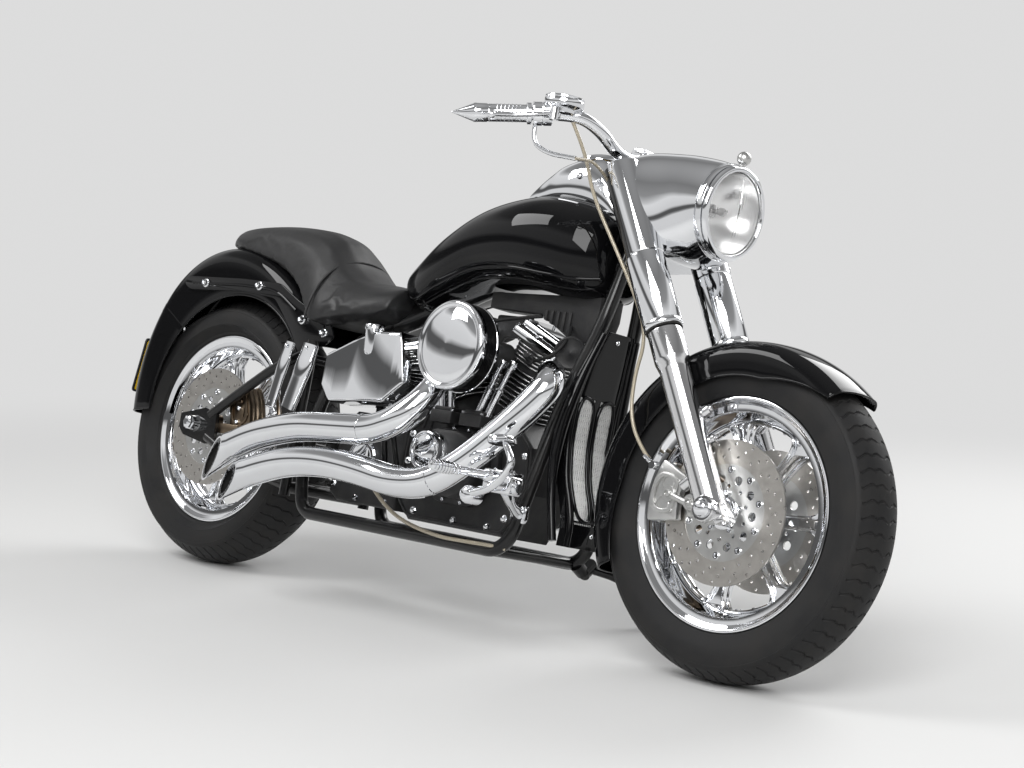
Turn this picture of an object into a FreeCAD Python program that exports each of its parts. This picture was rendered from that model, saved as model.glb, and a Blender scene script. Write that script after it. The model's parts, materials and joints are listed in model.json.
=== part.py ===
import FreeCAD, Part
import os
from math import acos, asin, atan2, cos, degrees, pi, radians, sin, sqrt, tan

import Sketcher

V = FreeCAD.Vector
UP = V(0, 0, 1)
AHEAD = V(1, 0, 0)
LEFT = V(0, 1, 0)


# Chopper motorcycle, in millimetres, leaning on its side stand.
# Every piece is modelled on the upright machine: X ahead of the rear axle, Y to the
# rider's left of the middle plane, Z above the ground line. At the end all pieces lean
# together by the parking angle.

SIZES = {
    # Stance
    "wheel_base": 1620, "park_angle": 13, "rake_angle": 30.5, "stem_setback": 50,
    # Wheels and tyres
    "tyre_radius": 332, "tyre_height": 99, "crown_radius": 90, "tyre_wall": 9,
    "front_tyre_half": 70, "rear_tyre_half": 83,
    "bead_depth": 27, "rim_wall": 8, "lip_width": 3,
    "front_rim_half": 58, "rear_rim_half": 55,
    "spoke_count": 7, "spoke_phase": -2.5, "spoke_depth": 26, "spoke_waist": 24,
    "hub_radius": 52, "hub_core": 34, "axle_radius": 12.5, "running_gap": 0.3,
    "disc_room": 60, "disc_plate": 5, "disc_ring": 34, "carrier_holes": 10,
    "front_disc_face": 76, "rear_disc_face": 84,
    "pulley_radius": 104, "pulley_width": 24, "pulley_side": 97, "belt_width": 17,
    "belt_depth": 8, "drive_pulley_radius": 46, "drive_pulley_ahead": 560,
    "drive_pulley_height": 318,
    # Front fork
    "leg_spread": 115, "slider_radius": 31.5, "cover_radius": 41, "tube_radius": 24,
    "slider_reach": 398, "cover_reach": 567, "tree_low": 612, "tree_high": 742,
    "tree_plate": 30, "stem_radius": 15, "neck_radius": 31,
    "lamp_radius": 102, "lamp_ahead": 1449, "lamp_height": 947, "lamp_tilt": 4,
    "shell_wall": 4,
    # Handlebar
    "bar_radius": 14, "grip_radius": 19, "grip_length": 128,
    # Fenders
    "fender_wall": 3, "front_fender_half": 82, "front_fender_gap": 17,
    "rear_fender_half": 100, "fender_back_radius": 465, "fender_top_radius": 293,
    "fender_front_radius": 420,
    # Frame
    "rail_radius": 15, "rail_half": 128, "rail_height": 170, "backbone_radius": 28,
    # Engine
    "engine_middle": 890, "vee_angle": 45, "barrel_radius": 58, "fin_radius": 76,
    "fin_count": 9, "fin_pitch": 11, "fin_plate": 4, "barrel_foot": 160,
    "crank_height": 330, "case_half": 78,
    "cleaner_radius": 98, "timer_radius": 44,
    "spoiler_half": 68, "grille_slot": 42, "grille_bar": 14,
    # Exhaust
    "pipe_radius": 33, "pipe_wall": 3,
    # Side stand
    "stand_radius": 11, "stand_pin": 6, "foot_length": 62, "foot_width": 34, "foot_plate": 6,
}


class Size(float):
    """A number that also knows its formula over the sheet's cells."""

    def __new__(cls, value, formula):
        size = super().__new__(cls, value)
        size.formula = formula
        return size

    def joined(self, sign, other, value, swapped=False):
        first, second = formula_of(self), formula_of(other)
        if swapped:
            first, second = second, first
        return Size(value, "(%s %s %s)" % (first, sign, second))

    def __add__(self, other):
        return self.joined("+", other, float(self) + float(other))

    def __radd__(self, other):
        return self.joined("+", other, float(other) + float(self), True)

    def __sub__(self, other):
        return self.joined("-", other, float(self) - float(other))

    def __rsub__(self, other):
        return self.joined("-", other, float(other) - float(self), True)

    def __mul__(self, other):
        return self.joined("*", other, float(self) * float(other))

    def __rmul__(self, other):
        return self.joined("*", other, float(other) * float(self), True)

    def __truediv__(self, other):
        return self.joined("/", other, float(self) / float(other))

    def __neg__(self):
        return Size(-float(self), "(-%s)" % self.formula)


def formula_of(number):
    return number.formula if isinstance(number, Size) else repr(float(number))


def make_sheet(doc):
    """Write the driving sizes to the sheet and return them by name."""
    sheet = doc.addObject("Spreadsheet::Sheet", "Sizes")
    for row, (name, value) in enumerate(SIZES.items(), start=1):
        sheet.set("A%d" % row, name)
        sheet.set("B%d" % row, str(value))
        sheet.setAlias("B%d" % row, name)
    doc.recompute()
    sizes = {name: Size(sheet.get(name), "Sizes." + name) for name in SIZES}
    sizes["rim_radius"] = sizes["tyre_radius"] - sizes["tyre_height"]
    sizes["bead_radius"] = sizes["rim_radius"] - sizes["bead_depth"]
    sizes["disc_radius"] = sizes["bead_radius"] - sizes["disc_room"]
    return sizes


doc = FreeCAD.newDocument("chopper")
S = make_sheet(doc)
GAP = S["running_gap"]
CLEAR = 5.4
PIECES = {}

# Helpers for places, sketches and solids


def turned_to(axis, at):
    """Placement that stands a piece's own Z axis along axis, at a point."""
    return FreeCAD.Placement(V(at), FreeCAD.Rotation(UP, V(axis)))


def side_place(at):
    """Placement that lays a piece's X and Y into the machine's side view, facing right."""
    return FreeCAD.Placement(V(at), FreeCAD.Rotation(AHEAD, 90))


def keep(label, piece, place=None):
    """File a sub-part under its label, with its place on the upright machine."""
    piece.Label = label
    if place is not None:
        piece.Placement = place
    PIECES[label] = piece
    return piece


def shaped(label, shape):
    """A sub-part whose form is worked out with the geometry functions."""
    piece = doc.addObject("Part::Feature", label)
    piece.Shape = shape
    return keep(label, piece)


def origin_plane(body, role):
    return next(item for item in body.Origin.OriginFeatures if item.Role == role)


def sketch_on(body, role, name):
    sketch = body.newObject("Sketcher::SketchObject", name)
    sketch.AttachmentSupport = [(origin_plane(body, role), "")]
    sketch.MapMode = "FlatFace"
    return sketch


def hold(sketch, kind, corner, number):
    """Tie one coordinate of a corner to the sketch's origin."""
    if number == 0:
        axis = -2 if kind == "DistanceX" else -1
        sketch.addConstraint(Sketcher.Constraint("PointOnObject", corner, 1, axis))
        return
    index = sketch.addConstraint(Sketcher.Constraint(kind, -1, 1, corner, 1, float(number)))
    if isinstance(number, Size):
        sketch.setExpression("Constraints[%d]" % index, number.formula)


def outline(sketch, corners):
    """Closed straight-sided outline, each corner tied to the sizes it comes from."""
    first = sketch.GeometryCount
    count = len(corners)
    for index, (start, end) in enumerate(zip(corners, corners[1:] + corners[:1])):
        sketch.addGeometry(Part.LineSegment(V(*start, 0), V(*end, 0)), False)
    for index in range(count):
        end = first + (index + 1) % count
        sketch.addConstraint(Sketcher.Constraint("Coincident", first + index, 2, end, 1))
    for index, (across, along) in enumerate(corners):
        hold(sketch, "DistanceX", first + index, across)
        hold(sketch, "DistanceY", first + index, along)


def circle(sketch, across, along, radius):
    """Circle in a sketch, tied to its sizes."""
    index = sketch.addGeometry(Part.Circle(V(across, along, 0), UP, float(radius)), False)
    for kind, number in (("DistanceX", across), ("DistanceY", along)):
        if number == 0:
            axis = -2 if kind == "DistanceX" else -1
            sketch.addConstraint(Sketcher.Constraint("PointOnObject", index, 3, axis))
            continue
        tie = sketch.addConstraint(Sketcher.Constraint(kind, -1, 1, index, 3, float(number)))
        if isinstance(number, Size):
            sketch.setExpression("Constraints[%d]" % tie, number.formula)
    tie = sketch.addConstraint(Sketcher.Constraint("Radius", index, float(radius)))
    if isinstance(radius, Size):
        sketch.setExpression("Constraints[%d]" % tie, radius.formula)


def turned(label, profile):
    """Body turned about its own Z axis from (radius, height) corners."""
    body = doc.addObject("PartDesign::Body", label)
    sketch = sketch_on(body, "XZ_Plane", label + "_profile")
    outline(sketch, profile)
    turn = body.newObject("PartDesign::Revolution", label + "_turn")
    turn.Profile = sketch
    turn.ReferenceAxis = (sketch, ["V_Axis"])
    turn.Angle = 360
    sketch.Visibility = False
    return body


def padded(body, sketch, depth, middle=False, name="Pad"):
    pad = body.newObject("PartDesign::Pad", body.Name + "_" + name)
    pad.Profile = sketch
    pad.Length = float(depth)
    if isinstance(depth, Size):
        pad.setExpression("Length", depth.formula)
    if middle:
        pad.Midplane = True
    return pad


def plate(label, corners, depth, middle=True):
    """Body padded up from the XY plane from straight-sided corners."""
    body = doc.addObject("PartDesign::Body", label)
    sketch = sketch_on(body, "XY_Plane", label + "_outline")
    outline(sketch, corners)
    padded(body, sketch, depth, middle)
    return body


def block(low, high):
    return Part.makeBox(high[0] - low[0], high[1] - low[1], high[2] - low[2], V(*low))


def rod(start, end, radius):
    """Round bar between two points."""
    start, end = V(start), V(end)
    return Part.makeCylinder(float(radius), (end - start).Length, start, end - start)


def cone(start, end, radius_start, radius_end):
    start, end = V(start), V(end)
    return Part.makeCone(float(radius_start), float(radius_end), (end - start).Length,
                         start, end - start)


def route(points, share=0.45):
    """Runs between the points, joined by arcs as large as the runs allow."""
    points = [V(point) for point in points]
    edges, start = [], points[0]
    for before, corner, after in zip(points, points[1:], points[2:]):
        back, on = (before - corner), (after - corner)
        reach = share * min(back.Length, on.Length)
        back.normalize()
        on.normalize()
        entry, leave = corner + back * reach, corner + on * reach
        turn = pi - back.getAngle(on)
        if turn < 0.01:
            continue
        radius = reach / tan(turn / 2)
        inward = back + on
        inward.normalize()
        middle = corner + inward * (radius / cos(turn / 2) - radius)
        edges.append(Part.LineSegment(start, entry).toShape())
        edges.append(Part.Arc(entry, middle, leave).toShape())
        start = leave
    edges.append(Part.LineSegment(start, points[-1]).toShape())
    return Part.Wire(edges)


def tube(points, radius, share=0.45):
    """Solid round bar bent along a route."""
    path = route(points, share)
    along = V(points[1]) - V(points[0])
    ring = Part.Wire(Part.makeCircle(float(radius), V(points[0]), along))
    return path.makePipeShell([ring], True, False)


def mirrored(shape):
    """The same shape on the other side of the middle plane."""
    return shape.mirror(V(0, 0, 0), LEFT)


def both_sides(shape):
    return Part.makeCompound([shape, mirrored(shape)])


def joined(*shapes):
    """One solid from shapes that meet."""
    result = shapes[0].fuse(list(shapes[1:]))
    return result.removeSplitter()


def lofted(sections, straight=False):
    """Solid through many-sided rings, curved from ring to ring unless told otherwise."""
    rings = [Part.makePolygon([V(*point) for point in ring + ring[:1]]) for ring in sections]
    return Part.makeLoft(rings, True, straight)


def side_profile(corners, half, fillet=0):
    """Prism of a side-view outline, as wide as twice half, with its rims rounded."""
    wire = Part.makePolygon([V(x, -float(half), z) for x, z in corners + corners[:1]])
    prism = Part.Face(wire).extrude(V(0, 2 * float(half), 0))
    if fillet:
        rims = [edge for edge in prism.Edges
                if all(abs(abs(v.Y) - float(half)) < 1e-6 for v in edge.Vertexes)
                and edge.Vertexes[0].Y * edge.Vertexes[-1].Y > 0]
        prism = prism.makeFillet(fillet, rims)
    return prism


# Places that several pieces share

AXLE = S["tyre_radius"]
RAKE = radians(S["rake_angle"])
FORK_UP = V(-sin(RAKE), 0, cos(RAKE))
FORK_AHEAD = V(cos(RAKE), 0, sin(RAKE))
FRONT_AXLE = V(S["wheel_base"], 0, AXLE)
STEM_FOOT = FRONT_AXLE - FORK_AHEAD * float(S["stem_setback"])


def on_leg(reach, ahead=0, side=0):
    """Point on the fork: so far up from the axle, ahead of the legs and to the left."""
    return FRONT_AXLE + FORK_UP * float(reach) + FORK_AHEAD * float(ahead) + LEFT * float(side)


def around(centre, radius, angle, side=0):
    """Point of the side view at an angle about a centre, counted up from straight ahead."""
    turn = radians(angle)
    return V(centre[0] + float(radius) * cos(turn), float(side),
             centre[1] + float(radius) * sin(turn))


# Wheels


def tyre(label, half, rim_half):
    """Tyre with a round crown, full side walls and a hollow open to the rim."""
    tread_half = half * 0.8
    centre = S["tyre_radius"] - S["crown_radius"]
    lean = float(S["park_angle"])
    edge = degrees(asin(float(tread_half) / float(S["crown_radius"])))
    crown = [(centre + S["crown_radius"] * cos(radians(turn)),
              S["crown_radius"] * sin(radians(turn))) for turn in (edge, (edge + lean) / 2, lean)]
    bead_side = rim_half - S["lip_width"] - GAP
    bead = S["bead_radius"] + GAP
    lip = S["rim_radius"] + 3
    shoulder = crown[0][0]
    belly = (shoulder + lip) / 2 + 4
    inner = bead_side - S["tyre_wall"]
    wall = [(bead, bead_side), (lip, bead_side), (belly - 14, half - 2), (belly + 12, half - 2)]
    side = [(bead, inner)] + wall + crown
    roof = [(shoulder - S["tyre_wall"], 0)]
    other = [(height, -across) for height, across in reversed(side)]
    body = turned(label, side + other + roof)
    return keep(label, body)


def rim(label, half, hub_ends):
    """Rim, web with rounded windows between the spokes, and hub, in one casting."""
    body = doc.addObject("PartDesign::Body", label)
    wall = S["rim_wall"]
    lip = S["lip_width"]
    flat, top = S["bead_radius"], S["rim_radius"]
    barrel = sketch_on(body, "XZ_Plane", label + "_barrel")
    outline(barrel, [
        (top, half), (top, half - lip), (flat, half - lip), (flat, -half + lip),
        (top, -half + lip), (top, -half), (flat - 3, -half), (flat - wall, -half + 14),
        (flat - wall, half - 14), (flat - 3, half)])
    ring = body.newObject("PartDesign::Revolution", label + "_ring")
    ring.Profile = barrel
    ring.ReferenceAxis = (barrel, ["V_Axis"])
    ring.Angle = 360
    web = sketch_on(body, "XY_Plane", label + "_web")
    circle(web, 0, 0, flat - wall + 1)
    padded(body, web, S["spoke_depth"], True, "Web")
    hub = sketch_on(body, "XZ_Plane", label + "_hub")
    low, high = hub_ends
    deep = S["spoke_depth"] / 2
    core, flange = S["hub_core"], S["hub_radius"]
    outline(hub, [(0, low), (flange, low), (flange, low + 7), (core, low + 12),
                  (core, -deep - 8), (flange, -deep), (flange, deep), (core, deep + 8),
                  (core, high - 12), (flange, high - 7), (flange, high), (0, high)])
    turn = body.newObject("PartDesign::Revolution", label + "_hub_turn")
    turn.Profile = hub
    turn.ReferenceAxis = (hub, ["V_Axis"])
    turn.Angle = 360
    window = sketch_on(body, "XY_Plane", label + "_window")
    window_edges(window)
    cut = body.newObject("PartDesign::Pocket", label + "_windows")
    cut.Profile = window
    cut.Midplane = True
    cut.Length = float(S["spoke_depth"]) + 4
    cut.setExpression("Length", "Sizes.spoke_depth + 4")
    repeat = body.newObject("PartDesign::PolarPattern", label + "_spokes")
    repeat.Originals = [cut]
    repeat.Axis = (window, ["N_Axis"])
    repeat.Angle = 360
    repeat.Occurrences = int(S["spoke_count"])
    repeat.setExpression("Occurrences", "Sizes.spoke_count")
    body.Tip = repeat
    bore = sketch_on(body, "XY_Plane", label + "_bore")
    circle(bore, 0, 0, S["axle_radius"] + GAP)
    hole = body.newObject("PartDesign::Pocket", label + "_bore_cut")
    hole.Profile = bore
    hole.Midplane = True
    hole.Length = float(high - low) + 200
    body.Tip = hole
    return keep(label, body)


def window_edges(sketch):
    """Window between two spokes: two straight flanks, an outer and an inner arc."""
    step = 2 * pi / S["spoke_count"]
    phase = radians(S["spoke_phase"])
    middle = phase + step / 2
    outer = float(S["bead_radius"] - S["rim_wall"] - 7)
    inner = float(S["hub_radius"]) + 14
    half = float(S["spoke_waist"]) / 2

    def on_flank(side, reach, bulge=0):
        """Point on the flank of the spoke on that side, so far out."""
        angle = middle + side * step / 2
        along = V(cos(angle), sin(angle), 0)
        across = V(sin(angle), -cos(angle), 0) * side
        return along * reach + across * (half + bulge)

    flare = 20
    start, end = on_flank(1, inner + 10), on_flank(1, outer - 34)
    turn_out = on_flank(1, outer - 8, 7)
    corner = on_flank(1, sqrt(outer ** 2 - (half + flare) ** 2), flare)

    def flipped(point):
        """The same point on the other side of the window's middle line."""
        along = V(cos(middle), sin(middle), 0)
        return along * (2 * point.dot(along)) - point

    top = V(cos(middle), sin(middle), 0) * outer
    low = V(cos(middle), sin(middle), 0) * (inner - 4)
    edges = [Part.LineSegment(start, end), Part.Arc(end, turn_out, corner),
             Part.Arc(corner, top, flipped(corner)),
             Part.Arc(flipped(corner), flipped(turn_out), flipped(end)),
             Part.LineSegment(flipped(end), flipped(start)),
             Part.Arc(flipped(start), low, start)]
    for edge in edges:
        sketch.addGeometry(edge, False)
    for index in range(len(edges)):
        sketch.addConstraint(Sketcher.Constraint("Block", index))


def brake_disc(label, bore):
    """Brake disc on its carrier: a plate with a ring of holes, on one side of the wheel."""
    body = doc.addObject("PartDesign::Body", label)
    sketch = sketch_on(body, "XY_Plane", label + "_outline")
    circle(sketch, 0, 0, S["disc_radius"])
    circle(sketch, 0, 0, bore)
    padded(body, sketch, S["disc_plate"])
    windows = sketch_on(body, "XY_Plane", label + "_hole")
    circle(windows, (S["disc_radius"] - S["disc_ring"] + bore) / 2 + 4, 0, 9)
    cut = body.newObject("PartDesign::Pocket", label + "_holes")
    cut.Profile = windows
    cut.Midplane = True
    cut.Length = 4 * float(S["disc_plate"])
    repeat = body.newObject("PartDesign::PolarPattern", label + "_ring")
    repeat.Originals = [cut]
    repeat.Axis = (windows, ["N_Axis"])
    repeat.Angle = 360
    repeat.Occurrences = int(S["carrier_holes"])
    repeat.setExpression("Occurrences", "Sizes.carrier_holes")
    body.Tip = repeat
    return body


def wheel_place(x, side=0):
    """Place of a wheel piece: its own Z axis lies along the axle, to the left."""
    return FreeCAD.Placement(V(x, side, AXLE), FreeCAD.Rotation(AHEAD, -90))


def make_wheels():
    front, rear = float(S["wheel_base"]), 0.0
    tyre("front_tyre", S["front_tyre_half"], S["front_rim_half"]).Placement = wheel_place(front)
    tyre("rear_tyre", S["rear_tyre_half"], S["rear_rim_half"]).Placement = wheel_place(rear)
    front_flange = S["front_disc_face"] - S["disc_plate"]
    front_ends = (-front_flange, front_flange)
    rim("front_rim", S["front_rim_half"], front_ends).Placement = wheel_place(front)
    rear_flange = S["rear_disc_face"] - S["disc_plate"]
    rear_ends = (-rear_flange, S["pulley_side"] - S["pulley_width"] / 2)
    rim("rear_rim", S["rear_rim_half"], rear_ends).Placement = wheel_place(rear)
    make_discs(front, rear)
    make_pulley(rear)


def make_discs(front, rear):
    bore = S["axle_radius"] + 6
    right, left = brake_disc("disc_right", bore), brake_disc("disc_left", bore)
    back = brake_disc("rear_disc", bore)
    doc.recompute()
    inside = S["front_disc_face"] - S["disc_plate"] + GAP
    right.Placement = FreeCAD.Placement(V(0, -inside, 0), FreeCAD.Rotation(AHEAD, 90))
    left.Placement = FreeCAD.Placement(V(0, inside, 0), FreeCAD.Rotation(AHEAD, -90))
    pair = doc.addObject("Part::Compound", "front_discs")
    pair.Links = [right, left]
    keep("front_discs", pair, FreeCAD.Placement(V(front, 0, AXLE), FreeCAD.Rotation()))
    rear_inside = S["rear_disc_face"] - S["disc_plate"] + GAP
    place = FreeCAD.Placement(V(rear, -rear_inside, AXLE), FreeCAD.Rotation(AHEAD, 90))
    keep("rear_disc", back, place)


def make_pulley(rear):
    """Toothed belt pulley on the left of the rear wheel, drawn as its pitch drum."""
    half = S["pulley_width"] / 2
    outer, bore = S["pulley_radius"], S["axle_radius"] + 6
    rim_in = outer - 14
    drum = turned("rear_pulley", [
        (bore, -half + GAP), (outer + 5, -half + GAP), (outer + 5, -half + 3),
        (outer, -half + 3), (outer, half - 3), (outer + 5, half - 3), (outer + 5, half),
        (rim_in, half), (rim_in, 0), (bore + 24, 0), (bore + 24, half), (bore, half)])
    keep("rear_pulley", drum, wheel_place(rear, S["pulley_side"]))


# Front fork and steering


BOSS_PROUD = 0.5


def leg_place(reach, side):
    return turned_to(FORK_UP, on_leg(reach, 0, side))


def boss_face():
    """How far the outer face of a leg's axle boss lies from the middle plane."""
    return float(S["leg_spread"]) + float(S["slider_radius"]) + BOSS_PROUD


def make_fork():
    spread = float(S["leg_spread"])
    slider = S["slider_radius"]
    reach = S["slider_reach"]
    boss = rod(on_leg(0, 0, -boss_face()), on_leg(0, 0, -spread + 27), 26)
    leg = rod(on_leg(-14, 0, -spread), on_leg(reach - GAP, 0, -spread), slider)
    foot = rod(on_leg(-22, 0, -spread), on_leg(-14, 0, -spread), slider - 5)
    collar = joined(cone(on_leg(308, 0, -spread), on_leg(326, 0, -spread), slider, slider + 5),
                    rod(on_leg(326, 0, -spread), on_leg(reach - GAP, 0, -spread), slider + 5))
    fender_room = float(slider) - spread
    collar = collar.cut(block((1200, fender_room, 400), (1800, 0, 900)))
    hole = rod(on_leg(0, 0, -spread - 60), on_leg(0, 0, -spread + 60), S["axle_radius"] + GAP)
    lug_top = rod(on_leg(88, 0, -spread + 12), on_leg(78, -62, -spread + 12), 14)
    stay = rod(on_leg(196, 0, -spread + 10), on_leg(204, 44, -spread + 21), 11)
    pad = rod(on_leg(290, 0, -spread + 20),
              on_leg(290, 0, -float(S["front_fender_half"]) - float(GAP)), 12)
    right = joined(leg, foot, boss, collar, lug_top, stay, pad).cut(hole)
    shaped("fork_sliders", both_sides(right))
    make_covers()
    make_trees()
    make_axle()
    make_calipers()


def make_covers():
    """Bright upper covers, each with a bead at its lower end."""
    radius = S["cover_radius"]
    bottom, top = S["slider_reach"], S["cover_reach"]
    bore = S["slider_radius"] - 2
    profile = [(bore, 0), (radius - 2, 0), (radius, 5), (radius, top - bottom - GAP),
               (bore, top - bottom - GAP)]
    right = turned("cover_right", profile)
    left = turned("cover_left", profile)
    doc.recompute()
    right.Placement = leg_place(bottom, -S["leg_spread"])
    left.Placement = leg_place(bottom, S["leg_spread"])
    pair = doc.addObject("Part::Compound", "fork_covers")
    pair.Links = [right, left]
    keep("fork_covers", pair)


def make_trees():
    """Fork tubes, the two yokes that clamp them and the steering stem."""
    spread, setback = float(S["leg_spread"]), float(S["stem_setback"])
    tubes = [rod(on_leg(S["cover_reach"] + GAP, 0, side), on_leg(S["tree_high"] + 20, 0, side),
                 S["tube_radius"]) for side in (-spread, spread)]
    yokes = []
    for reach in (float(S["tree_low"]), float(S["tree_high"])):
        plate_thick = float(S["tree_plate"])
        base = on_leg(reach - plate_thick / 2)
        corners = [(-setback - 22, -22), (-setback - 22, 22), (-24, spread + 4), (14, spread + 30),
                   (30, spread), (22, 0), (30, -spread), (14, -spread - 30), (-24, -spread - 4)]
        wire = Part.makePolygon([base + FORK_AHEAD * a + LEFT * b
                                 for a, b in corners + corners[:1]])
        yokes.append(Part.Face(wire).extrude(FORK_UP * plate_thick))
    stem = rod(on_leg(S["tree_low"], -setback), on_leg(S["tree_high"] + 22, -setback),
               S["stem_radius"])
    shaped("fork_trees", joined(*yokes, *tubes, stem))


def make_axle():
    """Front axle with its spacers and nuts."""
    spread = float(S["leg_spread"])
    face = float(S["front_disc_face"]) + 2 * float(GAP)
    shaft = rod(on_leg(0, 0, -boss_face() - 6), on_leg(0, 0, boss_face() + 6), S["axle_radius"])
    shapes = [shaft]
    for side in (-1, 1):
        inner, outer = side * (face + 0.3), side * (spread - S["slider_radius"] - GAP)
        shapes.append(rod(on_leg(0, 0, inner), on_leg(0, 0, outer), S["axle_radius"] + 6))
        start, end = side * (boss_face() + float(GAP)), side * (boss_face() + 15)
        shapes.append(cone(on_leg(0, 0, start), on_leg(0, 0, end), 18, 14))
    shaped("front_axle", joined(*shapes))


def caliper_body(centre, angle, side, half_angle=26):
    """Four-piston caliper over the edge of a disc: an arc-shaped block with its slot."""
    inner, outer = float(S["disc_radius"]) - 46, float(S["disc_radius"]) + 32
    width = 54
    face = Part.Face(Part.Wire([
        Part.Arc(around(centre, inner, angle - half_angle), around(centre, inner, angle),
                 around(centre, inner, angle + half_angle)).toShape(),
        Part.LineSegment(around(centre, inner, angle + half_angle),
                         around(centre, outer, angle + half_angle * 0.8)).toShape(),
        Part.Arc(around(centre, outer, angle + half_angle * 0.8), around(centre, outer, angle),
                 around(centre, outer, angle - half_angle * 0.8)).toShape(),
        Part.LineSegment(around(centre, outer, angle - half_angle * 0.8),
                         around(centre, inner, angle - half_angle)).toShape()]))
    face.translate(V(0, side - width / 2, 0))
    solid = face.extrude(V(0, width, 0))
    solid = solid.makeChamfer(6, [edge for edge in solid.Edges
                                  if abs(edge.Vertexes[0].Y - edge.Vertexes[-1].Y) < 1e-6])
    slot = float(S["disc_plate"]) + 2 * CLEAR
    disc = Part.makeCylinder(float(S["disc_radius"]) + CLEAR, slot,
                             V(centre[0], side - slot / 2, centre[1]), LEFT)
    return solid.cut(disc)


def make_calipers():
    """Front calipers behind the legs, each on its lug."""
    spread = float(S["leg_spread"])
    centre = (float(S["wheel_base"]), float(AXLE))
    side = -(float(S["front_disc_face"]) - float(S["disc_plate"]) / 2 + float(GAP))
    body = caliper_body(centre, 172, side)
    lug = joined(rod(on_leg(40, -52, -spread + 6), on_leg(40, -52, -spread + 18), 16),
                 rod(on_leg(78, -96, -spread + 6), on_leg(78, -96, -spread + 18), 16))
    web = rod(on_leg(40, -58, -spread + 12), on_leg(78, -96, -spread + 12), 9)
    right = joined(body, lug, web)
    blocked = PIECES["fork_sliders"].Shape
    right = largest(right.cut(blocked))
    shaped("front_calipers", both_sides(right))


def largest(shape):
    return max(shape.Solids, key=lambda solid: solid.Volume)


# Lamp nacelle


def ring_section(x, half, low, high, shoulder=0.62, count=10):
    """Rounded closed section across the machine, at one place along it."""
    middle, tall = (low + high) / 2, (high - low) / 2
    points = []
    for index in range(count):
        turn = 2 * pi * (index + 0.5) / count
        across, up = cos(turn), sin(turn)
        points.append((x, half * abs(across) ** shoulder * (1 if across > 0 else -1),
                       middle + tall * abs(up) ** shoulder * (1 if up > 0 else -1)))
    return points


def make_nacelle():
    """Bright housing that runs from the lamp ring back around the fork."""
    wall = float(S["shell_wall"])
    front = float(S["lamp_ahead"]) - 21
    radius, height = float(S["lamp_radius"]), float(S["lamp_height"])

    def hood(shrink, stretch):
        sections = [
            ring_section(front + stretch, radius - 4 - shrink, height - radius + 4 + shrink,
                         height + radius - 4 - shrink, 1.0),
            ring_section(front - 70, 118 - shrink, 826 + shrink, 1060 - shrink, 0.9),
            ring_section(front - 130, 138 - shrink, 826 + shrink, 1060 - shrink, 0.75),
            ring_section(1225 - stretch, 146 - shrink, 846 + shrink, 1034 - shrink, 0.7)]
        return lofted(sections)

    spread = float(S["leg_spread"])
    low, high = float(S["cover_reach"]) + float(GAP), 786
    sleeve = float(S["cover_radius"]) + 0.5
    sleeves, bores = [], []
    for side in (-spread, spread):
        sleeves.append(rod(on_leg(low, 0, side), on_leg(high, 0, side), sleeve))
        bores.append(rod(on_leg(low - 20, 0, side), on_leg(high + 60, 0, side), sleeve - wall))
    outer = joined(hood(0, 0), *sleeves)
    behind = Part.makeBox(500, 600, 700)
    with_fork = FreeCAD.Rotation(LEFT, -float(S["rake_angle"]))
    behind.Placement = FreeCAD.Placement(on_leg(480, -500, -300), with_fork)
    outer = outer.cut(behind)
    inner = hood(wall, 1).fuse(bores)
    shell = outer.cut(inner).cut(ahead_of_lamp())
    for side in (-52, 52):
        shell = shell.cut(rod(on_leg(600, -14, side), on_leg(900, -14, side), 19))
    for name in ("handlebar", "fork_trees"):
        shell = shell.cut(PIECES[name].Shape)
    shaped("nacelle", largest(shell))


def lamp_axis():
    tilt = radians(S["lamp_tilt"])
    return V(cos(tilt), 0, -sin(tilt))


def lamp_seat():
    return V(S["lamp_ahead"] - 21, 0, S["lamp_height"])


def ahead_of_lamp():
    """Everything ahead of the lamp ring's back face."""
    start = lamp_seat() - lamp_axis() * float(GAP)
    return rod(start, start + lamp_axis() * 100, 2 * float(S["lamp_radius"]))


def make_lamp():
    """Lamp ring and its lens."""
    radius = S["lamp_radius"]
    axis, at = lamp_axis(), lamp_seat()
    ring = turned("lamp_ring", [(radius - 16, 0), (radius - 1, 0), (radius, 8), (radius, 16),
                                (radius - 5, 25), (radius - 14, 28), (radius - 16, 24)])
    keep("lamp_ring", ring, turned_to(axis, at))
    lens_radius = radius - 16 - GAP
    lens = turned("lamp_lens", [(0, 2), (lens_radius, 2), (lens_radius, 22),
                                (lens_radius * 0.72, 29), (lens_radius * 0.38, 33), (0, 34)])
    keep("lamp_lens", lens, turned_to(axis, at))


# Handlebar and controls

BAR_RIGHT = [(1214, -40, 1032), (1214, -92, 1032), (1219, -140, 1038), (1219, -192, 1066),
             (1200, -236, 1086), (1160, -268, 1084), (1128, -300, 1076)]
GRIP_END = V(1024, -412, 1049)


def make_handlebar():
    """Pulled-back bar on two short risers."""
    inner = V(*BAR_RIGHT[-1])
    along = GRIP_END - inner
    along.normalize()
    half = [V(*point) for point in BAR_RIGHT[1:]] + [GRIP_END - along * 30]
    points = [V(p.x, -p.y, p.z) for p in reversed(half)] + half
    bar = tube(points, S["bar_radius"], 0.4)
    risers = []
    for side in (-52, 52):
        top = V(BAR_RIGHT[0][0], side, BAR_RIGHT[0][2])
        foot = on_leg(float(S["tree_high"]) + float(S["tree_plate"]) / 2 + 0.3,
                      -float(S["stem_setback"]) + 36, side)
        risers.append(rod(foot, top, 17))
        risers.append(rod(top - LEFT * 18, top + LEFT * 18, 25))
    bar = largest(joined(bar, *risers).cut(PIECES["fork_trees"].Shape))
    shaped("handlebar", bar)


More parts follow.
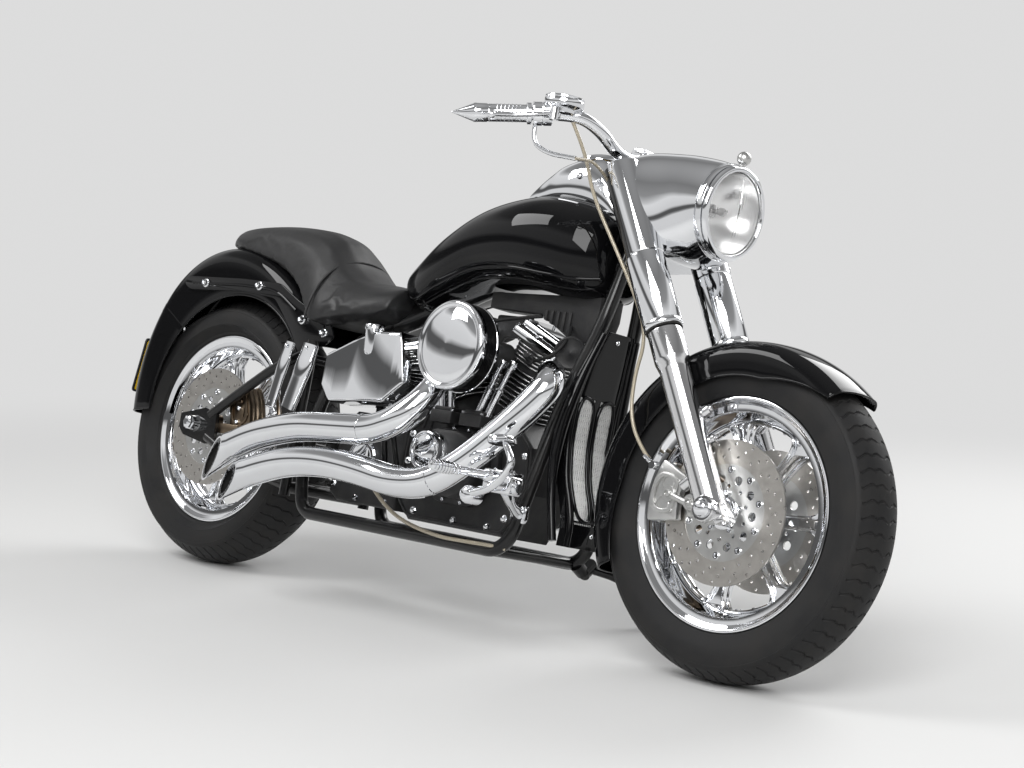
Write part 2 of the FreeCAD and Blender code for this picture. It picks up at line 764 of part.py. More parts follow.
def along_grip(reach):
    inner = V(*BAR_RIGHT[-1])
    along = GRIP_END - inner
    along.normalize()
    return inner + along * reach


def make_grips():
    """Bright grips with long pointed ends."""
    grip = S["grip_radius"]
    length = float(S["grip_length"])
    sleeve = rod(along_grip(14), along_grip(length), grip)
    collar = rod(along_grip(10), along_grip(20), grip + 4)
    spike = cone(along_grip(length), along_grip(length + 48), grip + 1, 2)
    bore = rod(along_grip(-10), along_grip((GRIP_END - V(*BAR_RIGHT[-1])).Length - 30 + 0.3),
               S["bar_radius"] + GAP)
    shaped("grips", both_sides(joined(sleeve, collar, spike).cut(bore)))


def make_hand_controls():
    """Clamped housings, levers and the fluid reservoir, by each grip."""
    bar = float(S["bar_radius"]) + float(GAP)
    along = along_grip(1) - along_grip(0)
    housing = rod(along_grip(-34), along_grip(8), bar + 11)
    body = rod(along_grip(-30) + V(26, 0, 6), along_grip(6) + V(26, 0, 6), 15)
    pivot = rod(along_grip(-8) + V(44, -4, -14), along_grip(-8) + V(44, -4, 14), 10)
    lever = tube([along_grip(-8) + V(44, -4, 0), along_grip(40) + V(60, 0, -2),
                  along_grip(90) + V(56, 0, -4), along_grip(138) + V(70, 0, -4)], 5.5)
    tip = Part.makeSphere(10, along_grip(142) + V(71, 0, -4))
    elbow = tube([along_grip(-2) + V(-4, 4, -20), along_grip(-2) + V(0, 4, -62),
                  along_grip(-14) + V(30, 8, -82), along_grip(-30) + V(74, 20, -88)], 5)
    bore = rod(along_grip(-60), along_grip(60), bar)
    left_side = mirrored(joined(housing, body, pivot, lever, tip).cut(bore))
    cup_base = along_grip(-44) + V(20, -6, 10)
    cup = joined(rod(cup_base, cup_base + V(0, 0, 24), 42),
                 rod(cup_base - V(0, 0, 14), cup_base, 26))
    right_side = joined(housing, body, pivot, lever, tip, elbow, cup).cut(bore)
    bar = PIECES["handlebar"].Shape
    sides = [largest(side.cut(bar)) for side in (right_side, left_side)]
    shaped("hand_controls", Part.makeCompound(sides))


# Fenders


def hood_profile(half, radius, depth, wall, shoulder):
    """Cross-section of a fender: a shallow crown, round shoulders and two skirts."""
    drop = 5

    def side(offset):
        """Outline of one half, from the skirt's edge up to the middle."""
        out, top, bend = half - offset, radius - offset, shoulder - offset
        centre = (out - bend, top - bend - drop)
        arc = [(centre[0] + bend * cos(radians(turn)), centre[1] + bend * sin(radians(turn)))
               for turn in (0, 22, 45, 68)]
        return [(out, radius - depth)] + arc + [(out - bend - 6, top - drop / 2), (0, top)]

    outer, inner = side(0), side(wall)
    ring = outer + [(-y, z) for y, z in reversed(outer[:-1])]
    ring += [(-y, z) for y, z in inner] + list(reversed(inner[:-1]))
    return Part.Face(Part.makePolygon([V(0, y, z) for y, z in ring + ring[:1]]))


def swept_hood(profile, centre, start, end):
    """Fender arc: its section turned about a centre, from one angle up to another."""
    face = profile.copy()
    face.rotate(V(0, 0, 0), LEFT, 90 - start)
    face.translate(V(centre[0], 0, centre[1]))
    return face.revolve(V(centre[0], 0, centre[1]), LEFT, -(end - start))


def side_cut(centre, radius, half):
    """Round cutter that trims both skirts and leaves the crown."""
    return Part.makeCylinder(float(radius), 4 * half, V(centre[0], -2 * half, centre[1]), LEFT)


def make_front_fender():
    base = float(S["wheel_base"])
    height = float(AXLE)
    centre = (base - 6, height + 4)
    half = float(S["front_fender_half"])
    radius = float(S["tyre_radius"] + S["front_fender_gap"])
    wall = float(S["fender_wall"])
    hood = swept_hood(hood_profile(half, radius, 150, wall, 34), centre, 50, 208)
    open_side = radius - 81
    for ahead, rise, wider in ((-5, 6, 0), (80, -42, 48), (10, -40, 22)):
        middle = (base + ahead, height + rise)
        hood = hood.cut(side_cut(middle, open_side + wider, half))
    shaped("front_fender", largest(hood))


# Where the back arc of the rear fender hands over to the top arc, and its centre ahead of
# and above the rear axle. The arcs are drawn for one tyre radius and grow with it.

BACK_ANGLE = 148.6
BACK_CENTRE = (121, 78)
DRAWN_TYRE = 332


def make_rear_fender():
    """Three arcs that run on from each other: up the back, over the top and down in front."""
    half, wall = float(S["rear_fender_half"]), float(S["fender_wall"])
    grow = float(S["tyre_radius"]) - DRAWN_TYRE
    radii = [float(S[name]) + grow for name in
             ("fender_back_radius", "fender_top_radius", "fender_front_radius")]
    back = (BACK_CENTRE[0], float(AXLE) + BACK_CENTRE[1])
    turn = radians(BACK_ANGLE)
    step = radii[0] - radii[1]
    top = (back[0] + step * cos(turn), back[1] + step * sin(turn))
    front = (top[0], top[1] + radii[1] - radii[2])
    arcs = [(back, radii[0], BACK_ANGLE, 189), (top, radii[1], 90, BACK_ANGLE),
            (front, radii[2], 28, 90)]
    hoods = [swept_hood(hood_profile(half, radius, 190, wall, 42), centre, start, end)
             for centre, radius, start, end in arcs]
    hood = joined(*hoods)
    hood = hood.cut(side_cut((49, float(AXLE) + 44), radii[1] - 3, half))
    shaped("rear_fender", largest(joined(hood, plate_holder()).cut(inside_of(arcs, half, wall))))


def inside_of(arcs, half, wall):
    """Room under the crown of the back arc, which the plate's holder must not fill."""
    centre, radius = arcs[0][0], arcs[0][1] - wall
    return side_cut(centre, radius - 0.01, half / 4)


PLATE_AT = V(-349, 0, 460)
PLATE_TILT = 8


def plate_place():
    return FreeCAD.Placement(PLATE_AT, FreeCAD.Rotation(LEFT, PLATE_TILT))


def plate_holder():
    """Block between the back of the fender and the plate."""
    holder = block((0.3, -58, -58), (40, 58, 58))
    holder.Placement = plate_place()
    return holder


# Frame


def backbone_route(end):
    """Top tube from the steering neck back over the engine, as far as given."""
    return [on_leg(S["tree_high"] - 56, -S["stem_setback"] - 6), V(1000, 0, 838),
            V(640, 0, 690), V(end, 0, 690 - (640 - end) * 0.36)]


def make_frame():
    """Cradle frame: neck, backbone, twin downtubes and lower rails, rear uprights."""
    rail, half = S["rail_radius"], float(S["rail_half"])
    height = float(S["rail_height"])
    setback = -float(S["stem_setback"])
    low = float(S["tree_low"]) + float(S["tree_plate"]) / 2 + 0.3
    high = float(S["tree_high"]) - float(S["tree_plate"]) / 2 - 0.3
    neck = rod(on_leg(low, setback), on_leg(high, setback), S["neck_radius"])
    backbone = tube(backbone_route(500), S["backbone_radius"], 0.4)
    sides = []
    for sign in (-1, 1):
        side = sign * half
        sides.append(tube([on_leg(low + 84, setback - 12, sign * 8), V(1216, sign * 30, 846),
                           V(1195, sign * 56, 670), V(1148, sign * 84, 500),
                           V(1130, sign * 116, 300), V(1108, side, height),
                           V(760, side, height), V(446, side, height), V(424, side, 250),
                           V(436, side, 420), V(470, sign * 90, 570),
                           V(516, sign * 12, 646)], rail, 0.4))
    crosses = [rod(V(x, -half, height), V(x, half, height), rail - 3) for x in (500, 1076)]
    frame = joined(neck, backbone, *sides, *crosses)
    stem = rod(on_leg(low - 60, setback), on_leg(high + 60, setback), S["stem_radius"] + GAP)
    shaped("frame", frame.cut(stem))


def make_swingarm():
    """Triangulated rear fork with its axle plates and cross tubes."""
    half = float(S["rail_half"])
    front = 374
    sides = []
    for sign in (-1, 1):
        side = sign * half
        plate_wire = Part.makePolygon([V(x, side - 5, z) for x, z in
                                       ((-62, 318), (-62, 352), (30, 374), (76, 362), (82, 300),
                                        (50, 286), (-40, 300), (-62, 318))])
        sides.append(Part.Face(plate_wire).extrude(V(0, 10, 0)))
        sides.append(tube([V(48, side, 358), V(150, side, 428), V(262, side, 500),
                           V(front, side, 545)], 12, 0.4))
        sides.append(tube([V(50, side, 304), V(200, side, 250), V(front, side, 222)], 12, 0.4))
        sides.append(rod(V(front, side, 200), V(front, side, 570), 13.5))
    crosses = [rod(V(front, -half, height), V(front, half, height), radius)
               for height, radius in ((222, 16), (322, 15), (526, 12))]
    arm = joined(*sides, *crosses)
    axle = rod(V(0, -200, AXLE), V(0, 200, AXLE), S["axle_radius"] + GAP)
    shaped("swingarm", largest(arm.cut(axle)))


def make_rear_axle():
    """Rear axle with its spacers and nuts."""
    plate_side = float(S["rail_half"])
    shapes = [rod(V(0, -plate_side - 22, AXLE), V(0, plate_side + 22, AXLE), S["axle_radius"])]
    near_pulley = float(S["pulley_side"] + S["pulley_width"] / 2) + 0.6
    for sign, inner in ((-1, float(S["rear_disc_face"]) + 1), (1, near_pulley)):
        shapes.append(rod(V(0, sign * inner, AXLE), V(0, sign * (plate_side - 5.3), AXLE), 18.5))
        shapes.append(cone(V(0, sign * (plate_side + 5.3), AXLE),
                           V(0, sign * (plate_side + 24), AXLE), 21, 17))
    shaped("rear_axle", joined(*shapes))


def make_struts():
    """Side struts that carry the rear fender."""
    corners = [(-186, 682), (-166, 700), (50, 705), (190, 702), (270, 664), (400, 616),
               (420, 586), (398, 566), (300, 540), (262, 590), (180, 664), (50, 673),
               (-160, 666)]
    right, left = plate("strut_right", corners, 6), plate("strut_left", corners, 6)
    doc.recompute()
    offset = float(S["rear_fender_half"]) + 3 + float(GAP)
    right.Placement = side_place(V(0, -offset, 0))
    left.Placement = side_place(V(0, offset, 0))
    pair = doc.addObject("Part::Compound", "fender_struts")
    pair.Links = [right, left]
    keep("fender_struts", pair)


# Body work


def make_tank():
    """Stretched tank that falls to a tail in front of the seat, over the backbone."""
    stations = [
        # place along, half width, underside, widest height, top
        (582, 60, 700, 735, 764), (640, 98, 676, 742, 802), (730, 128, 706, 782, 868),
        (840, 146, 742, 826, 926), (960, 156, 748, 846, 955), (1060, 150, 738, 846, 956),
        (1134, 128, 736, 838, 938), (1184, 84, 752, 830, 906)]
    sections, squareness = [], 0.8
    for x, half, low, widest, high in stations:
        ring = []
        for index in range(14):
            turn = 2 * pi * (index + 0.5) / 14
            across, up = cos(turn), sin(turn)
            tall = (high - widest) if up > 0 else (widest - low)
            ring.append((x, half * abs(across) ** squareness * (1 if across > 0 else -1),
                         widest + tall * abs(up) ** squareness * (1 if up > 0 else -1)))
        sections.append(ring)
    tank = lofted(sections)
    tunnel = tube(backbone_route(470), float(S["backbone_radius"]) + 0.5, 0.4)
    shaped("tank", largest(tank.cut(tunnel).cut(PIECES["frame"].Shape)))


def make_dash():
    """Bright console on top of the tank, with the switch knob in front."""
    stations = [(884, 22, 946, 962), (930, 50, 946, 992), (1000, 70, 940, 1037),
                (1050, 72, 936, 1050), (1096, 66, 924, 1050), (1130, 54, 910, 1016),
                (1156, 38, 900, 966)]
    sections = [ring_section(x, half, low, high, 0.8) for x, half, low, high in stations]
    dash = lofted(sections)
    dash = largest(dash.cut(PIECES["tank"].Shape))
    shaped("tank_dash", dash)


def saddle_section(x, half, low, high):
    """Section of the seat: widest at its lower edge, domed on top."""
    tall = high - low
    side = [(1.0, 0.0), (0.98, 0.22), (0.84, 0.58), (0.56, 0.86), (0.22, 0.985)]
    ring = [(x, half * across, low + tall * up) for across, up in side]
    return ring + [(x, -y, z) for _, y, z in reversed(ring)]


def make_seat():
    """Solo seat with a raised pillion pad behind it."""
    stations = [
        # place along, half width, underside, top
        (-116, 34, 798, 822), (-80, 66, 786, 842), (-20, 88, 778, 852), (80, 102, 762, 857),
        (180, 112, 736, 856), (256, 122, 690, 849), (312, 136, 636, 832), (350, 146, 606, 803),
        (398, 150, 612, 758), (452, 150, 622, 735), (530, 138, 640, 731), (588, 112, 664, 734)]
    seat = lofted([saddle_section(*station) for station in stations])
    for name in ("rear_fender", "tank", "frame", "fender_struts"):
        seat = largest(seat.cut(PIECES[name].Shape))
    shaped("seat", seat)


def make_oil_tank():
    """Oil tank wrapped around the seat post, with its filler cap."""
    corners = [(455, 466), (490, 432), (690, 446), (742, 496), (712, 608), (630, 603),
               (551, 582), (458, 544)]
    tank = side_profile(corners, 176, 16)
    keep_out = block((430, -60, 400), (760, 60, 700))
    tank = tank.cut(keep_out)
    tank = tank.cut(PIECES["frame"].Shape).cut(PIECES["seat"].Shape)
    right = [solid for solid in tank.Solids if solid.CenterOfMass.y < 0]
    left = [solid for solid in tank.Solids if solid.CenterOfMass.y > 0]
    sides = [max(group, key=lambda solid: solid.Volume) for group in (right, left)]
    bridge = block((480, -60, 470), (700, 60, 560))
    tank = joined(*sides, bridge).cut(PIECES["rocker_boxes"].Shape)
    shaped("oil_tank", largest(tank))


# Engine


def barrel_axis(lean):
    turn = radians(lean)
    return V(sin(turn), 0, cos(turn))


def make_engine():
    """Open V-twin: case, two finned barrels with their heads, covers and tubes."""
    middle, crank = float(S["engine_middle"]), float(S["crank_height"])
    half_vee = float(S["vee_angle"]) / 2
    root = V(middle, 0, crank)
    case = side_profile([(middle - 190, 240), (middle - 150, 200), (middle + 150, 200),
                         (middle + 205, 300), (middle + 190, 400), (middle + 120, 462),
                         (middle - 110, 462), (middle - 190, 400)], S["case_half"], 12)
    barrels, boxes = [], []
    for lean in (-half_vee, half_vee):
        axis = barrel_axis(lean)
        foot = root + axis * float(S["barrel_foot"])
        stack = [rod(foot - axis * 30, foot + axis * 150, S["barrel_radius"])]
        for index in range(int(S["fin_count"])):
            start = foot + axis * (8 + index * float(S["fin_pitch"]))
            stack.append(rod(start, start + axis * float(S["fin_plate"]), S["fin_radius"]))
        head = foot + axis * 112
        stack.append(rod(head, head + axis * 40, float(S["fin_radius"]) - 4))
        barrels.append(joined(*stack))
        boxes.append(rocker_box(foot + axis * 152.3, axis))
    barrels[0] = largest(barrels[0].cut(case))
    barrels[1] = largest(barrels[1].cut(case))
    barrels[1] = largest(barrels[1].cut(barrels[0]))
    shaped("crankcase", case)
    shaped("cylinders", Part.makeCompound(barrels))
    shaped("rocker_boxes", Part.makeCompound(boxes))


def rocker_box(at, axis):
    """Two-tier rocker cover on top of a head."""
    along = LEFT.cross(axis)
    layers = []
    for lift, tall, half_long, half_wide in ((0, 22, 82, 66), (22, 20, 74, 56)):
        corners = [(-half_long, -half_wide), (half_long, -half_wide), (half_long, half_wide),
                   (-half_long, half_wide)]
        base = at + axis * lift
        wire = Part.makePolygon([base + along * a + LEFT * b for a, b in corners + corners[:1]])
        solid = Part.Face(wire).extrude(axis * tall)
        uprights = [edge for edge in solid.Edges
                    if abs((edge.Vertexes[0].Point - edge.Vertexes[-1].Point).dot(axis)) > tall / 2]
        layers.append(solid.makeFillet(16, uprights))
    return joined(*layers)


def make_covers_right():
    """Gear cover with its round timer cover, tappet blocks and push-rod tubes."""
    middle, crank = float(S["engine_middle"]), float(S["crank_height"])
    corners = [(middle - 120, crank - 30), (middle - 60, crank - 78), (middle + 60, crank - 80),
               (middle + 120, crank - 10), (middle + 110, crank + 60), (middle + 40, crank + 92),
               (middle - 60, crank + 92), (middle - 118, crank + 50)]
    wire = Part.makePolygon([V(x, -78.3, z) for x, z in corners + corners[:1]])
    cover = Part.Face(wire).extrude(V(0, -66, 0))
    rims = [edge for edge in cover.Edges
            if abs(edge.Vertexes[0].Y + 144.3) < 1e-3 and abs(edge.Vertexes[-1].Y + 144.3) < 1e-3]
    cover = cover.makeFillet(14, rims)
    timer = rod(V(middle - 16, -144.3, crank + 20), V(middle - 16, -158, crank + 20),
                S["timer_radius"])
    shaped("cam_cover", joined(cover, timer))
    tubes = []
    half_vee = float(S["vee_angle"]) / 2
    for sign in (-1, 1):
        axis = barrel_axis(sign * half_vee)
        head = V(middle, 0, crank) + axis * (float(S["barrel_foot"]) + 110)
        for shift in (-16, 16):
            top = head + V(shift + sign * -6, -98, 0)
            foot = V(middle + sign * 46 + shift * 0.9, -106, crank + 96)
            tubes.append(rod(foot, top, 8))
        blockish = block((middle + sign * 46 - 34, -134, crank + 92.3),
                         (middle + sign * 46 + 34, -80, crank + 122))
        tubes.append(blockish)
    shape = joined(*tubes)
    for name in ("cylinders", "rocker_boxes", "crankcase"):
        shape = shape.cut(PIECES[name].Shape)
    solids = sorted(shape.Solids, key=lambda solid: -solid.Volume)[:2]
    shaped("pushrod_tubes", Part.makeCompound(solids))


CLEANER_AHEAD = 47


def make_air_cleaner():
    """Round air cleaner on its back plate and intake."""
    middle = float(S["engine_middle"])
    radius = S["cleaner_radius"]
    cover = turned("air_cleaner", [(0, 0), (radius - 26, 0), (radius - 8, 6), (radius, 16),
                                   (radius, 58), (radius - 4, 66), (radius - 10, 68),
                                   (radius - 16, 65), (radius - 22, 68), (radius - 60, 76),
                                   (0, 78)])
    keep("air_cleaner", cover, turned_to(-LEFT, V(middle + CLEANER_AHEAD, -172, 585)))


def make_intake():
    middle = float(S["engine_middle"])
    body = rod(V(middle + CLEANER_AHEAD, -60, 585), V(middle + CLEANER_AHEAD, -171.7, 585), 34)
    for name in ("cylinders", "rocker_boxes", "pushrod_tubes"):
        body = largest(body.cut(PIECES[name].Shape))
    shaped("intake", body)


def make_left_covers():
    """Primary drive cover on the left, and the gearbox behind the engine."""
    inner, outer = float(S["pulley_side"]) + 12, 188
    shape = Part.Face(Part.Wire([
        Part.Arc(V(1010, inner, 236), V(1100, inner, 330), V(1010, inner, 424)).toShape(),
        Part.LineSegment(V(1010, inner, 424), V(640, inner, 420)).toShape(),
        Part.Arc(V(640, inner, 420), V(530, inner, 318), V(640, inner, 214)).toShape(),
        Part.LineSegment(V(640, inner, 214), V(1010, inner, 236)).toShape()]))
    cover = shape.extrude(V(0, outer - inner, 0))
    rims = [edge for edge in cover.Edges
            if all(abs(vertex.Y - outer) < 1e-3 for vertex in edge.Vertexes)]
    cover = cover.makeFillet(18, rims)
    derby = rod(V(640, outer, 318), V(640, outer + 7, 318), 62)
    ring = rod(V(1010, outer, 330), V(1010, outer + 4, 330), 54)
    back = block((760, float(S["case_half"]) + 0.3, 244), (1060, inner, 404))
    cover = joined(cover, derby, ring, back).cut(PIECES["frame"].Shape)
    shaped("primary_cover", largest(cover))
    box = side_profile([(462, 230), (490, 212), (690, 212), (690, 400), (640, 424), (510, 424),
                        (462, 380)], 74, 10)
    shaft = rod(V(S["drive_pulley_ahead"], 74, S["drive_pulley_height"]),
                V(S["drive_pulley_ahead"], float(S["pulley_side"]) + 11, S["drive_pulley_height"]),
                S["drive_pulley_radius"] - 0.4)
    box = joined(box, shaft)
    for name in ("frame", "crankcase", "oil_tank"):
        box = box.cut(PIECES[name].Shape)
    shaped("gearbox", largest(box))


# Exhaust

LOWER_PIPE = [(1050, -38, 548), (1112, -96, 554), (1160, -146, 562), (1196, -182, 530),
              (1150, -214, 446), (1060, -240, 348), (980, -262, 286), (880, -268, 274),
              (760, -268, 288), (640, -268, 292), (520, -268, 278), (400, -268, 240),
              (290, -268, 190)]
UPPER_PIPE = [(840, -120, 552), (872, -176, 530), (882, -220, 470), (850, -252, 412),
              (780, -262, 378), (660, -264, 370), (540, -264, 362), (400, -264, 328),
              (300, -264, 282), (216, -264, 232)]


def exhaust(label, points, slash):
    """Bent pipe with a hollow, slash-cut end."""
    radius, wall = float(S["pipe_radius"]), float(S["pipe_wall"])
    pipe = tube(points, radius, 0.45)
    last, before = V(*points[-1]), V(*points[-2])
    along = last - before
    along.normalize()
    mouth = rod(last - along * 110, last + along * 20, radius - wall)
    pipe = pipe.cut(mouth)
    knife = Part.makeBox(200, 200, 200, V(-100, -100, 0))
    knife.Placement = FreeCAD.Placement(last - along * 4, FreeCAD.Rotation(UP, V(*slash)))
    return largest(pipe.cut(knife))


def make_exhausts():
    lower = exhaust("exhaust_front", LOWER_PIPE, (-0.9, 0.0, 0.25))
    upper = exhaust("exhaust_rear", UPPER_PIPE, (-0.9, 0.0, 0.25))
    for name in ("cylinders", "rocker_boxes", "cam_cover", "pushrod_tubes", "air_cleaner", "frame"):
        lower = largest(lower.cut(PIECES[name].Shape))
        upper = largest(upper.cut(PIECES[name].Shape))
    upper = largest(upper.cut(lower))
    shaped("exhaust_front", lower)
    shaped("exhaust_rear", upper)


# Trim, controls and small pieces


def make_spoiler():
    """Chin panel between the downtubes with two long openings, and its side strips."""
    front = [(1222, 206), (1224, 252), (1212, 293), (1188, 345), (1174, 418), (1173, 470),
             (1176, 530), (1188, 600), (1203, 672)]
    back = [(1190, 676), (1162, 530), (1150, 420), (1166, 330), (1196, 256), (1204, 206)]
    half = float(S["spoiler_half"])
    body = side_profile(front + back, half, 5)
    strips = [tube([V(1204, sign * 54, 664), V(1180, sign * 76, 560), V(1164, sign * 92, 450),
                    V(1172, sign * 98, 330), V(1204, sign * 96, 214)], 15) for sign in (-1, 1)]
    fills = [block((1164, sign * half - 14, 300), (1176, sign * half + 14, 600))
             for sign in (-1, 1)]
    body = joined(body, *strips, *fills)
    inner, outer = float(S["grille_bar"]) / 2, float(S["grille_bar"]) / 2 + float(S["grille_slot"])
    slots = []
    for side in (-1, 1):
        low, high = sorted((side * inner, side * outer))
        slots.append(block((1100, low, 262), (1300, high, 522)))
    body = body.cut(Part.makeCompound(slots))
    shaped("chin_spoiler", largest(body.cut(PIECES["frame"].Shape)))


def make_right_controls():
    """Forward brake pedal, its cylinder and the right foot peg, on one bracket."""
    bracket = tube([V(1122, -122, 256), V(1150, -176, 268), V(1172, -228, 300)], 13)
    cylinder = block((1128, -262, 286), (1214, -212, 340))
    pedal_hub = rod(V(1130, -262, 276), V(1130, -306, 276), 19)
    arm = tube([V(1130, -292, 276), V(1196, -296, 300), V(1238, -298, 350), V(1216, -300, 392)], 9)
    pad = rod(V(1206, -262, 398), V(1206, -340, 398), 22)
    peg = tube([V(1150, -262, 322), V(1120, -330, 322), V(1104, -392, 322)], 14)
    shape = joined(bracket, cylinder, pedal_hub, arm, pad, peg)
    for name in ("exhaust_front", "frame", "chin_spoiler"):
        shape = largest(shape.cut(PIECES[name].Shape))
    shaped("foot_controls_right", shape)


def make_left_controls():
    """Forward shift lever and the left foot peg, on one bracket."""
    bracket = tube([V(1122, 122, 256), V(1150, 176, 268), V(1172, 228, 300)], 13)
    hub = rod(V(1150, 214, 306), V(1150, 290, 306), 19)
    arm = tube([V(1150, 276, 306), V(1200, 280, 316), V(1250, 282, 352)], 9)
    toe = rod(V(1246, 250, 350), V(1246, 330, 350), 13)
    peg = tube([V(1140, 262, 322), V(1114, 330, 322), V(1098, 392, 322)], 14)
    shape = joined(bracket, hub, arm, toe, peg)
    for name in ("primary_cover", "frame", "chin_spoiler"):
        shape = largest(shape.cut(PIECES[name].Shape))
    shaped("foot_controls_left", shape)


def make_rear_brake():
    side = -(float(S["rear_disc_face"]) - float(S["disc_plate"]) / 2 + float(GAP))
    body = caliper_body((0, float(AXLE)), 22, side, 22)
    ear = rod(V(60, -104, 350), V(60, -122.6, 350), 12)
    strap = joined(block((24, -122.6, 318), (150, -112, 344)),
                   block((118, -112, 330), (150, -100, 400)))
    shape = joined(body, ear, strap)
    for name in ("swingarm", "rear_axle"):
        shape = largest(shape.cut(PIECES[name].Shape))
    shaped("rear_caliper", shape)


def make_tail():
    """Tail lamp, and the plate with its bracket."""
    lamp = lofted([ring_section(0, 34, -40, 40, 0.9), ring_section(34, 40, -38, 38, 0.9),
                   ring_section(58, 36, -34, 34, 0.9), ring_section(66, 22, -22, 22, 0.9)])
    lamp.Placement = FreeCAD.Placement(V(-286, 0, 606), FreeCAD.Rotation(LEFT, -176))
    lamp = lamp.cut(PIECES["rear_fender"].Shape)
    shaped("tail_lamp", min(lamp.Solids, key=lambda solid: solid.CenterOfMass.x))
    panel = block((-3, -76, -72), (0, 76, 72))
    panel.Placement = plate_place()
    shaped("number_plate", panel)


def make_side_panels():
    """Curved bright covers over the rear uprights."""
    solids = []
    for x_top, x_low, wide in ((322, 300, 30), (396, 366, 46)):
        outer = tube([V(x_top, -150, 560), V(x_top - 6, -156, 500), V(x_low, -158, 400)], wide / 2)
        solids.append(largest(outer.cut(PIECES["swingarm"].Shape).cut(PIECES["frame"].Shape)
                              .cut(PIECES["fender_struts"].Shape).cut(PIECES["oil_tank"].Shape)
                              .cut(PIECES["exhaust_rear"].Shape)))
    shaped("side_covers", Part.makeCompound(solids))


def make_belt():
    """Drive belt from the gearbox to the rear wheel, as one fixed loop."""
    near = V(0, 0, AXLE)
    far = V(S["drive_pulley_ahead"], 0, S["drive_pulley_height"])
    big, small = float(S["pulley_radius"]) + 0.6, float(S["drive_pulley_radius"])
    width = float(S["belt_width"])
    span = far - near
    tilt = acos((big - small) / span.Length)
    base = atan2(span.z, span.x)
    up = V(cos(base + tilt), 0, sin(base + tilt))
    down = V(cos(base - tilt), 0, sin(base - tilt))
    along = V(cos(base), 0, sin(base))

    def loop(extra):
        wide, tight = big + extra, small + extra
        return Part.Face(Part.Wire([
            Part.LineSegment(near + up * wide, far + up * tight).toShape(),
            Part.Arc(far + up * tight, far + along * tight, far + down * tight).toShape(),
            Part.LineSegment(far + down * tight, near + down * wide).toShape(),
            Part.Arc(near + down * wide, near - along * wide, near + up * wide).toShape()]))

    belt = loop(float(S["belt_depth"])).cut(loop(0))
    belt.translate(V(0, float(S["pulley_side"]) - width / 2, 0))
    belt = belt.extrude(V(0, width, 0))
    shaped("drive_belt", largest(belt))


STAND_PIVOT = V(1086, 160, 160)
STAND_LENGTH = 222
STAND_EYE = 24
STAND_OUT = V(0.66, 0.68, -0.33).normalize()
STAND_IN = V(-0.98, 0.12, 0.08).normalize()


def stand_axis():
    """Hinge axis that takes the leg from its parked to its folded direction."""
    swing = STAND_OUT - STAND_IN
    leaning = V(0, 0.8, 0.6)
    return (leaning - swing * (leaning.dot(swing) / swing.dot(swing))).normalize()


def stand_travel():
    """Angle in degrees from the parked to the folded leg."""
    axis = stand_axis()
    out, back = (STAND_OUT - axis * STAND_OUT.dot(axis)), (STAND_IN - axis * STAND_IN.dot(axis))
    return degrees(out.getAngle(back))


def ground_height(side):
    """Height of the floor beside the leaning machine, on the upright machine's own scale."""
    lean = radians(S["park_angle"])
    drop = contact_drop()
    return side * tan(lean) + drop / cos(lean)


def contact_drop():
    """How far the floor lies from the ground line under the leaning tyres."""
    lean = radians(S["park_angle"])
    centre = float(AXLE) - float(S["tyre_radius"]) + float(S["crown_radius"])
    return centre * cos(lean) - float(S["crown_radius"])


def make_stand():
    """Side stand: a bent leg on its pivot, with a foot flat on the floor."""
    axis = stand_axis()
    foot_at = STAND_PIVOT + STAND_OUT * STAND_LENGTH
    foot_at.z = ground_height(foot_at.y)
    lean = radians(S["park_angle"])
    floor_up = V(0, -sin(lean), cos(lean))
    turn = FreeCAD.Rotation(AHEAD, degrees(lean))
    thick = float(S["foot_plate"])
    half_long, half_wide = float(S["foot_length"]) / 2, float(S["foot_width"]) / 2
    pad = block((-half_long, -half_wide, 0), (half_long, half_wide, thick))
    pad.Placement = FreeCAD.Placement(foot_at, turn)
    ankle = foot_at + floor_up * (thick / 2 + 6)
    eye_top = STAND_PIVOT + axis * STAND_EYE
    start = STAND_PIVOT + axis * (STAND_EYE / 2)
    leg = tube([start, start + STAND_OUT * 70 + V(8, 4, 14), ankle], S["stand_radius"], 0.4)
    eye = rod(STAND_PIVOT, eye_top, 18)
    pin = rod(STAND_PIVOT - axis * 30, STAND_PIVOT + axis * 40, S["stand_pin"] + GAP)
    leg = leg.cut(floor_cutter(foot_at, turn))
    leg = leg.cut(rod(STAND_PIVOT - axis * 30, STAND_PIVOT, 30))
    leg = leg.cut(rod(eye_top, eye_top + axis * 30, 14))
    shaped("side_stand", largest(joined(leg, pad, eye).cut(pin)))


def floor_cutter(at, turn):
    cutter = Part.makeBox(400, 400, 100, V(-200, -200, -100))
    cutter.Placement = FreeCAD.Placement(at, turn)
    return cutter


def make_stand_lug():
    """Bracket and pin on the frame that carry the side stand."""
    axis = stand_axis()
    rail = V(STAND_PIVOT.x, S["rail_half"], S["rail_height"])
    seat = STAND_PIVOT - axis * float(GAP)
    arm = cone(rail, seat - axis * 8, 16, 15)
    face = rod(seat - axis * 10, seat, 18)
    pin = rod(seat - axis * 4, STAND_PIVOT + axis * (STAND_EYE + 8), S["stand_pin"])
    head = rod(STAND_PIVOT + axis * (STAND_EYE + float(GAP)),
               STAND_PIVOT + axis * (STAND_EYE + 8), 11)
    arm = arm.cut(rod(seat, seat + axis * 60, 80))
    lug = largest(joined(arm, face, pin, head).cut(PIECES["frame"].Shape))
    shaped("stand_bracket", lug)


